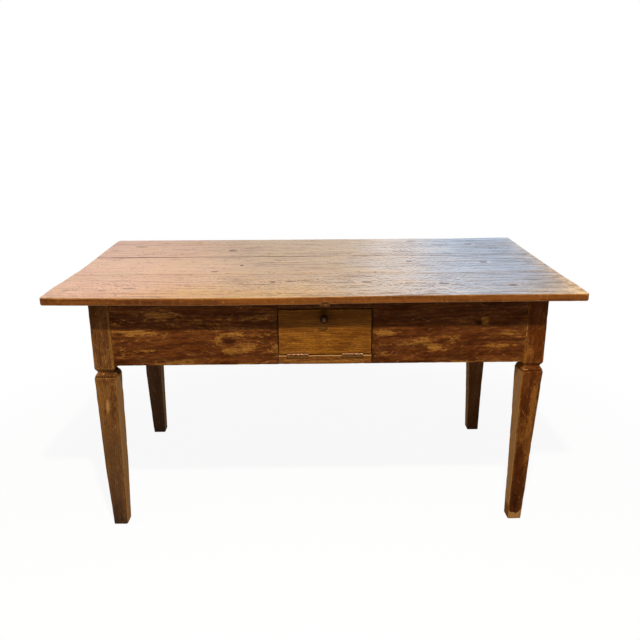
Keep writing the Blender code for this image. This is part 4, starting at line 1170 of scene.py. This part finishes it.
def legs():
    """Rounded squares carried up each leg, their width from the leg's profile, each arris worn in waves and
    chips.

    The legs swell a little between collar and foot and have warped: the inner faces of the front ones turn
    forward, and the back ones bow.
    """
    for seed, (corner, stain) in enumerate(LEG_STAINS.items(), FIRST_LEG_SEED):
        node = f"leg_{corner}"
        low, high = (np.array(end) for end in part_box(node))
        middle = (low + high) / 2
        rng = np.random.default_rng(seed)
        bend = LEG_ROUNDING * (1 - np.cos(np.linspace(0, np.pi / 2, 5)))
        heights = np.unique(np.concatenate([
            bend, np.arange(0.004, 0.518, 0.005), np.arange(0.518, 0.569, 0.0007),
            np.arange(0.569, high[2], 0.006), [high[2]],
        ]).round(6))[:, None]
        collar, waist, block = LEG_NECKS.get(corner, LEG_NECK)
        half = leg_width(heights, collar, waist, block) / 2 - round_over(LEG_ROUNDING - heights, LEG_ROUNDING)
        half = half + along_leg(LEG_SWELL, corner, heights) / 2
        walk = walk_profile(0.05, 0.05, 0.006, arc_steps=5)
        radius = np.concatenate([
            LEG_ARRIS * (1 + 0.4 * waves(rng, heights, (0.24, 0.11, 0.047)))
            + chips(rng, heights, 9, 0.0028, 0.010)
            for _ in range(4)
        ], axis=1)
        if corner in LEG_WORN_ARRIS:
            worn_corner, extra = LEG_WORN_ARRIS[corner]
            radius[:, [worn_corner]] += extra * ramp(heights, 0.45, -0.08)
        radius = np.clip(radius, 5e-4, half * 0.3)
        across, through = profile_rings(walk, half, half, radius)
        for offset in (across, through):
            dip = 0.0005 * (1 + ripples(rng, heights + 0 * offset, offset, (0.09, 0.16))) / 2
            offset -= dip * np.clip(offset / half, -1, 1)
        below = np.maximum(0, 1 - heights / LEG_NECK[0])
        twist = along_leg(LEG_TWIST, corner, heights)
        lean = LEG_LEAN.get(corner, 0.0) * below + along_leg(LEG_BOW, corner, heights) - half * np.sin(twist)
        across, through = (
            across * np.cos(twist) - through * np.sin(twist), across * np.sin(twist) + through * np.cos(twist)
        )
        rings = with_ends(np.stack([
            middle[0] + lean + across, middle[1] + through - LEG_FORWARD.get(corner, 0.0) * below,
            np.broadcast_to(heights, across.shape),
        ], axis=-1))
        x, y, z = place_of(rings)
        block_edge = np.exp(-np.abs(heights - block) / 0.003) + np.exp(-np.abs(heights - collar) / 0.002)
        edge = np.maximum(np.exp(-walk.gap / ARRIS_REACH), np.clip(block_edge, 0, 1))
        edge = np.maximum(edge, np.exp(-heights / ARRIS_REACH))
        facing_front = (walk.side == UNDER) * np.ones(x.shape)
        facing_in = (walk.side == (NEAR if middle[0] > 0 else FAR)) * np.ones(x.shape)
        # Darker in the quirk and at the waist, painted shade at the head under the top, darker towards the
        # foot
        quirk = bell(z, collar + 0.0045, 0.0019)
        grime = 0.15 * bell(z, waist + 0.0013, 0.0022) + 1.4 * quirk
        grime += 0.5 * ramp(z, 0.74, 0.03) + 0.55 * ramp(z, 0.48, -0.48)
        # Painted light: inner faces paler and less dark, as where the room's light falls on them
        traits = {
            "arris": end_values(edge, 1.0, 0.2),
            "raw": np.zeros(x.shape),
            "grime": grime * (1 - 0.6 * facing_in * (1 - quirk)),
            "pale": 0.62 * facing_in * ramp(z, collar + 0.006, -0.01) * (1 - quirk),
            "rubbed": 1.3 * facing_in,
        }
        faces = {"front": facing_front, "outer": 1 - facing_in, "all": 1.0}
        for key, where, patches in LEG_MARKS.get(corner, ()):
            traits[key] += faces[where] * spots(x, z, patches)
        if corner == "front_left":
            traits["raw"] += 0.20 * ramp(z, 0.42, -0.15) * (1 - facing_in)
        if corner == "front_right":
            curve = 0.025 + 0.012 * ((x - 0.659) / 0.019) ** 2 + 0.002 * np.sin(260 * x + 190 * y)
            traits["pale"] *= ramp(z, 0.035, 0.02)
            traits["pale"] += 0.66 * (1 - facing_in) * np.clip((curve - z) / 0.006 + 0.5, 0, 1)
        pith = (0.1 * seed % 0.3 + 0.72, 0.45)
        finish = stained_finish(f"{node}_stain", STANDING, pith, 1.9 * seed, stain, patch=10.0, flake=44.0)
        add_piece(f"{node}_worn", [(rings, traits)], finish, "table", [node])


# Turned and small pieces

def turned(axis_point, direction, side, profile, steps, square=None, wobble=None):
    """Profile of (distance along the axis, radius) carried round the axis in even steps. Where square is set,
    the radius runs to the square's sides: half side over the larger of cosine and sine."""
    direction = np.array(direction, float)
    side = np.array(side, float)
    third = np.cross(direction, side)
    angle = np.linspace(0, 2 * np.pi, steps, endpoint=False)
    along, radius = np.array(profile, float).T
    radius = np.repeat(radius[:, None], steps, axis=1)
    if square is not None:
        flat = 1 / np.maximum(np.abs(np.cos(angle)), np.abs(np.sin(angle)))
        radius = np.where(np.array(square)[:, None], radius * np.minimum(flat, 1.33), radius)
    if wobble is not None:
        radius = radius * wobble(angle)
    return (
        np.array(axis_point)
        + along[:, None, None] * direction
        + (radius * np.cos(angle))[..., None] * side
        + (radius * np.sin(angle))[..., None] * third
    )


def latch_knob():
    """Elliptic head with a shallow dish in its face, a waisted neck, a foot and the spindle with its square
    tail."""
    crown, radius, bulge = 0.0185, 0.0125, 0.0085
    angle = np.radians(np.linspace(82, -55, 26))
    head = np.stack([crown + bulge * np.sin(angle), radius * np.cos(angle)], axis=1)
    dish = np.array([
        [0.0250, 0.0006], [0.02505, 0.0016], [0.0252, 0.0030], [0.0256, 0.0042], [0.0262, 0.0052],
    ])
    head = head[head[:, 1] > 0.0060]
    waist = np.linspace(0, 1, 9)[1:]
    neck_start, neck_end = head[-1], np.array([0.0024, 0.0085])
    neck = neck_start + waist[:, None] * (neck_end - neck_start)
    neck[:, 1] -= 0.0018 * np.sin(np.pi * waist) + 0.0006 * np.sin(2 * np.pi * waist)
    foot = np.array([[0.0014, 0.0087], [0.0006, 0.0085], [0.0003, 0.0080], [0.0003, 0.0058]])
    spindle = np.array([[-0.0100, 0.0058], [-0.0235, 0.0058], [-0.02352, 0.0039]])
    back = LATCH_AXIS[1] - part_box("latch_knob")[1].y
    tail = np.array([[back + 0.0008, 0.0039], [back + 0.0001, 0.0036], [back, 0.0030], [back, 0.0012]])
    profile = np.concatenate([dish, head, neck, foot, spindle, tail])
    square = np.zeros(len(profile), bool)
    square[-len(tail) - 1:] = True
    rings = turned(LATCH_AXIS, (0, -1, 0), (1, 0, 0), profile, 56, square)
    face = ramp(profile[:, 1], 0.0058, -0.0016) * (profile[:, 0] > 0.02)
    traits = {"face": np.repeat(face[:, None], rings.shape[1], axis=1)}
    finish = knob_finish("knob_polish")
    add_piece("latch_knob_turned", [(rings, traits)], finish, "latch", ["latch_knob"])


PEG_RADIUS = 0.00455
PEG_STEPS = 22


def pegs():
    """Whittled pegs: a wavering round carried along the peg, with a low dome on each end."""
    finish = peg_finish("peg_end_grain")
    nodes = sorted(node for node in frame["nodes"] if node.startswith("peg_"))
    for seed, node in enumerate(nodes, FIRST_PEG_SEED):
        low, high = (np.array(end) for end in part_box(node))
        rng = np.random.default_rng(seed)
        axis = int(np.argmax(high - low))
        middle = (low + high) / 2
        half = (high - low)[axis] / 2
        along = np.array([-1, -0.99, -0.96, -0.90, 0.0, 0.90, 0.96, 0.99, 1.0]) * half
        radius = np.array([0.25, 0.75, 0.94, 1.0, 1.0, 1.0, 0.94, 0.75, 0.25]) * PEG_RADIUS
        phase = rng.uniform(0, 2 * np.pi, 2)
        direction, side = np.eye(3)[axis], np.eye(3)[2]
        rings = turned(
            middle, direction, side, np.stack([along, radius], axis=1), PEG_STEPS,
            wobble=lambda angle: (
                0.95 + 0.035 * np.sin(3 * angle + phase[0]) + 0.03 * np.sin(7 * angle + phase[1])
            ),
        )
        rim = np.repeat((np.abs(radius / PEG_RADIUS - 0.97) < 0.04)[:, None] * 1.0, PEG_STEPS, axis=1)
        add_piece(f"{node}_whittled", [(rings, {"rim": rim})], finish, "table", [node])


def eased_rod(start, end, along, radius, steps):
    """Rod on the hinge's axis from start to end, its radius eased alike at both ends."""
    along, radius = np.array(along), np.array(radius)
    places = np.concatenate([start + along, end - along[::-1]])
    profile = np.stack([places, np.concatenate([radius, radius[::-1]])], axis=1)
    return turned((0, HINGE_AXIS[1], HINGE_AXIS[2]), (1, 0, 0), (0, 1, 0), profile, steps)


def hinge_leaves():
    """Each leaf is a thin worn plate and its share of the knuckles, round barrels eased at their ends."""
    finish = iron_finish("hinge_iron", 0.85)
    barrel_back = HINGE_AXIS[1] + BARREL_RADIUS
    levels = {
        "fixed_leaf": ("table", HINGE_AXIS[2] - LEAF_GAP - LEAF_THICKNESS, range(0, KNUCKLE_COUNT, 2)),
        "flap_leaf": ("flap", HINGE_AXIS[2] + LEAF_GAP, range(1, KNUCKLE_COUNT, 2)),
    }
    for side, (start, end) in zip(("left", "right"), hinge_spans()):
        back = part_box(f"hinge_{side}_fixed_leaf")[1].y
        pitch = (end - start) / KNUCKLE_COUNT
        for part, (body, bottom, knuckles) in levels.items():
            top = bottom + LEAF_THICKNESS
            plate, _ = worn_board(
                (start, barrel_back + KNUCKLE_PLAY, bottom), (end, back, top), LYING,
                (0.0003,) * 4, PLATE_SEED, spacing=(0.006, 0.004), rounding=0.0003, hollow=0.00004,
                chip_count=2,
            )
            shells = [(plate, {})]
            for i in knuckles:
                left = start + i * pitch + (KNUCKLE_PLAY / 2 if i else 0)
                right = start + (i + 1) * pitch - (KNUCKLE_PLAY / 2 if i < KNUCKLE_COUNT - 1 else 0)
                barrel = eased_rod(left, right, [0, 0.0001, 0.0004, 0.0009, 0.004],
                                   [0.0016, 0.0028, 0.00315, BARREL_RADIUS, BARREL_RADIUS], 28)
                tab, _ = worn_board(
                    (left, HINGE_AXIS[1] + 0.35 * BARREL_RADIUS, bottom), (right, barrel_back + 0.0015, top),
                    LYING, (0.0002,) * 4, KNUCKLE_TAB_SEED, spacing=(0.004, 0.002), rounding=0.0002,
                    hollow=0.0, chip_count=1,
                )
                # Painted highlight along the top front of the barrel, where the light falls
                proud = ramp(barrel[..., 2], HINGE_AXIS[2] + 0.0015, 0.0009)
                proud *= ramp(barrel[..., 1], HINGE_AXIS[1] + 0.001, -0.002)
                shells += [(barrel, {"proud": proud}), (tab, {})]
            node = f"hinge_{side}_{part}"
            add_piece(f"{node}_forged", shells, finish, body, [node])
        pin = eased_rod(start, end, [-0.0012, -0.0011, -0.0007, 0.0, 0.02],
                        [0.0004, 0.0009, 0.0013, 0.0015, 0.0015], 20)
        add_piece(f"hinge_{side}_pin_peened", [(pin, {})], finish, "table", [f"hinge_{side}_pin"])


SCREW_RADIUS = 0.0029


def screw_head(middle, up, turn):
    """Countersunk head: a low dome with a slot sunk across it, where the distance from the slot's line is
    small. Up is -1 for a head that faces down."""
    dome = np.linspace(0.06, 1, 15)
    reach = np.append(dome, 1.0)
    height = np.append(0.00030 * (1 - dome**2) + 0.00008, -0.0004)
    profile = np.stack([height, reach * SCREW_RADIUS], axis=1)
    rings = turned((0, 0, 0), (0, 0, 1), (1, 0, 0), profile, 52)
    slot = np.clip(1 - (np.abs(rings[..., 1]) / 0.00042) ** 6, 0, 1)
    rings[..., 2] -= 0.0005 * slot * (rings[..., 2] > -0.0002)
    turned_x = np.cos(turn) * rings[..., 0] - np.sin(turn) * rings[..., 1]
    turned_y = np.sin(turn) * rings[..., 0] + np.cos(turn) * rings[..., 1]
    rings = np.stack([turned_x, up * turned_y, up * rings[..., 2]], axis=-1)
    return rings + np.array(middle), {"proud": np.repeat((0.25 * reach)[:, None], rings.shape[1], axis=1)}


def hinge_screws():
    """Three slotted screws in each leaf, facing the joint, each slot turned its own way."""
    finish = iron_finish("screw_iron", 0.3)
    rng = np.random.default_rng(SCREW_SEED)
    for side in ("left", "right"):
        low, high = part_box(f"hinge_{side}_fixed_leaf")
        places = np.linspace(low.x + 0.010, high.x - 0.010, 3)
        depth = high.y - 0.0065
        for part, body, level, up in (
            ("fixed", "table", HINGE_AXIS[2] - LEAF_GAP, 1), ("flap", "flap", HINGE_AXIS[2] + LEAF_GAP, -1)
        ):
            shells = [screw_head((x, depth, level), up, rng.uniform(0, np.pi)) for x in places]
            add_piece(f"hinge_{side}_{part}_screws", shells, finish, body)


def nails():
    """Old nail heads in the front aprons: uneven low domes set on the face."""
    finish = iron_finish("nail_iron", 0.9)
    rng = np.random.default_rng(NAIL_SEED)
    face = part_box("apron_front_right")[0].y
    shells = []
    profile = np.array([
        [0.0005, 0.0003], [0.00045, 0.0011], [0.0002, 0.0020], [-0.0006, 0.0023], [-0.002, 0.0020],
    ])
    for x, z in ((0.2008, 0.665), (0.1810, 0.586), (-0.1290, 0.586)):
        phase = rng.uniform(0, 2 * np.pi)
        shells.append((turned(
            (x, face, z), (0, -1, 0), (1, 0, 0), profile, 24,
            wobble=lambda angle: 1 + 0.06 * np.sin(2 * angle + phase) + 0.04 * np.sin(5 * angle),
        ), {}))
    add_piece("apron_nails", shells, finish, "table")


def inner_boards():
    """Finishes for the solids that stay: compartment, battens, tongue and cross pin."""
    looks = {
        "compartment_side_left": ("bare_side_left", END_FACING, 1.1),
        "compartment_side_right": ("bare_side_right", END_FACING, 2.7),
        "compartment_floor": ("bare_floor", (1, 0, 2), 3.9),
        "compartment_back": ("bare_back", FRONT_FACING, 5.2),
        "top_batten_left": ("bare_batten_left", (1, 0, 2), 6.4),
        "top_batten_right": ("bare_batten_right", (1, 0, 2), 7.3),
        "latch_tongue": ("bare_tongue", STANDING, 8.8),
    }
    for node, (name, axes, shift) in looks.items():
        set_finish(node, bare_finish(name, axes, shift))
    set_finish("latch_cross_pin", iron_finish("cross_pin_iron", 0.4))


def set_finish(node, finish):
    """Gives a solid that stays its finish, in each of its material slots."""
    solid = frame["nodes"][node]
    for place in solid.material_slots:
        place.material = finish
    if not solid.material_slots:
        solid.data.materials.append(finish)


# Studio

CAMERA_PLACE = (-0.02542, -2.3752, 1.3449)
CAMERA_YAW = 0.0185
CAMERA_PITCH = 0.3076
CAMERA_ROLL = -0.0033
CAMERA_FOCAL = 39.37


def camera():
    """Camera at the photograph's place: forward from yaw and pitch, then right and up turned by the roll."""
    level_ahead = math.cos(CAMERA_PITCH)
    forward = np.array([
        math.sin(CAMERA_YAW) * level_ahead, math.cos(CAMERA_YAW) * level_ahead, -math.sin(CAMERA_PITCH),
    ])
    level = np.array([math.cos(CAMERA_YAW), -math.sin(CAMERA_YAW), 0.0])
    upward = np.cross(level, forward)
    right = math.cos(CAMERA_ROLL) * level + math.sin(CAMERA_ROLL) * upward
    up = -math.sin(CAMERA_ROLL) * level + math.cos(CAMERA_ROLL) * upward
    turn = np.eye(4)
    turn[:3, :3] = np.stack([right, up, -forward], axis=1)
    turn[:3, 3] = CAMERA_PLACE
    lens = bpy.data.cameras.new("camera")
    lens.sensor_width = 36.0
    lens.lens = CAMERA_FOCAL
    lens.clip_end = 60.0
    seen_from = bpy.data.objects.new("camera", lens)
    bpy.context.scene.collection.objects.link(seen_from)
    seen_from.matrix_world = Matrix(turn.tolist())
    bpy.context.scene.camera = seen_from


def area_light(name, place, aim, size, power, colour):
    """Elliptic lamp at a place, turned to its aim."""
    lamp = bpy.data.lights.new(name, "AREA")
    lamp.shape = "ELLIPSE"
    lamp.size, lamp.size_y = size
    lamp.energy = power
    lamp.color = colour
    light = bpy.data.objects.new(name, lamp)
    bpy.context.scene.collection.objects.link(light)
    away = Matrix.Translation(place).translation - Matrix.Translation(aim).translation
    light.matrix_world = Matrix.Translation(place) @ away.to_track_quat("Z", "Y").to_matrix().to_4x4()


def backdrop_ray(start):
    """1 for rays that should see the plain white backdrop: camera, glossy and transmission rays."""
    path = start.node("LightPath", output="Is Camera Ray")
    return limit(path + path.other("Is Glossy Ray") + path.other("Is Transmission Ray"))


FLOOR_RINGS, FLOOR_STEPS = 24, 64
FLOOR_LEVEL = -0.0005


def studio():
    """White backdrop, soft even world light, a pale floor that keeps the shadow, and five lamps."""
    world = bpy.data.worlds.new("studio")
    bpy.context.scene.world = world
    world.use_nodes = True
    start = Field(world.node_tree)
    background = world.node_tree.nodes["Background"]
    background.inputs["Color"].default_value = (1.0, 1.0, 1.0, 1.0)
    strength = 0.22 + 0.78 * backdrop_ray(start)
    world.node_tree.links.new(strength.socket, background.inputs["Strength"])

    radius = np.linspace(0.2, 9.0, FLOOR_RINGS)[:, None]
    angle = np.linspace(0, 2 * np.pi, FLOOR_STEPS, endpoint=False)
    level = np.full((FLOOR_RINGS, FLOOR_STEPS), FLOOR_LEVEL)
    rings = np.stack([radius * np.cos(angle), radius * np.sin(angle), level], axis=-1)
    index = np.arange(FLOOR_RINGS * FLOOR_STEPS).reshape(FLOOR_RINGS, FLOOR_STEPS)
    beside = np.roll(index, -1, axis=1)
    faces = np.stack([index[:-1], index[1:], beside[1:], beside[:-1]], axis=-1).reshape(-1, 4).tolist()
    mesh = bpy.data.meshes.new("floor")
    mesh.from_pydata(rings.reshape(-1, 3), [], faces + [index[0].tolist()])
    floor = bpy.data.objects.new("floor", mesh)
    bpy.context.scene.collection.objects.link(floor)
    material = bpy.data.materials.new("pale_floor")
    material.use_nodes = True
    tree = material.node_tree
    tree.nodes.clear()
    start = Field(tree)
    place = start.node("TexCoord", output="Object")
    distance = start.node("VectorMath", {"operation": "LENGTH"}, {0: place}, output="Value")
    white = start.node("Emission", None, {"Color": (1.0, 1.0, 1.0, 1.0), "Strength": 1.0})
    near = start.node("BsdfDiffuse", None, {"Color": (0.95, 0.95, 0.95, 1.0)})
    seen = start.node("MixShader", None, {0: 0.92 + 0.08 * rise(distance, 0.9, 1.9), 1: near, 2: white})
    lit = start.node("BsdfDiffuse", None, {"Color": (0.50, 0.48, 0.46, 1.0)})
    mixed = start.node("MixShader", None, {0: backdrop_ray(start), 1: lit, 2: seen})
    output = tree.nodes.new("ShaderNodeOutputMaterial")
    tree.links.new(mixed.socket, output.inputs["Surface"])
    mesh.materials.append(material)

    area_light("key", (0.10, -2.16, 3.33), (0.0, -0.37, 0.68), (0.14, 0.14), 125.0, (1.0, 0.95, 0.88))
    area_light("fill", (-2.6, -2.4, 1.3), (0.0, 0.0, 0.5), (2.0, 1.6), 12.0, (1.0, 0.96, 0.92))
    area_light("cool_back", (1.30, 2.8, 1.50), (0.55, 0.0, 0.8), (1.05, 1.1), 4.6, (0.20, 0.56, 1.0))
    area_light("pale_back", (0.64, 2.8, 1.48), (0.35, 0.0, 0.8), (0.50, 0.9), 1.1, (1.0, 0.92, 0.95))
    area_light("warm_back", (-1.5, 2.3, 1.38), (-0.5, 0.0, 0.8), (1.9, 1.0), 3.2, (1.0, 0.55, 0.52))
    bpy.context.scene.view_settings.view_transform = "Standard"


top_boards()
catch_tab()
aprons()
upper_rail()
lower_rail()
flap()
legs()
latch_knob()
pegs()
hinge_leaves()
hinge_screws()
nails()
inner_boards()
camera()
studio()
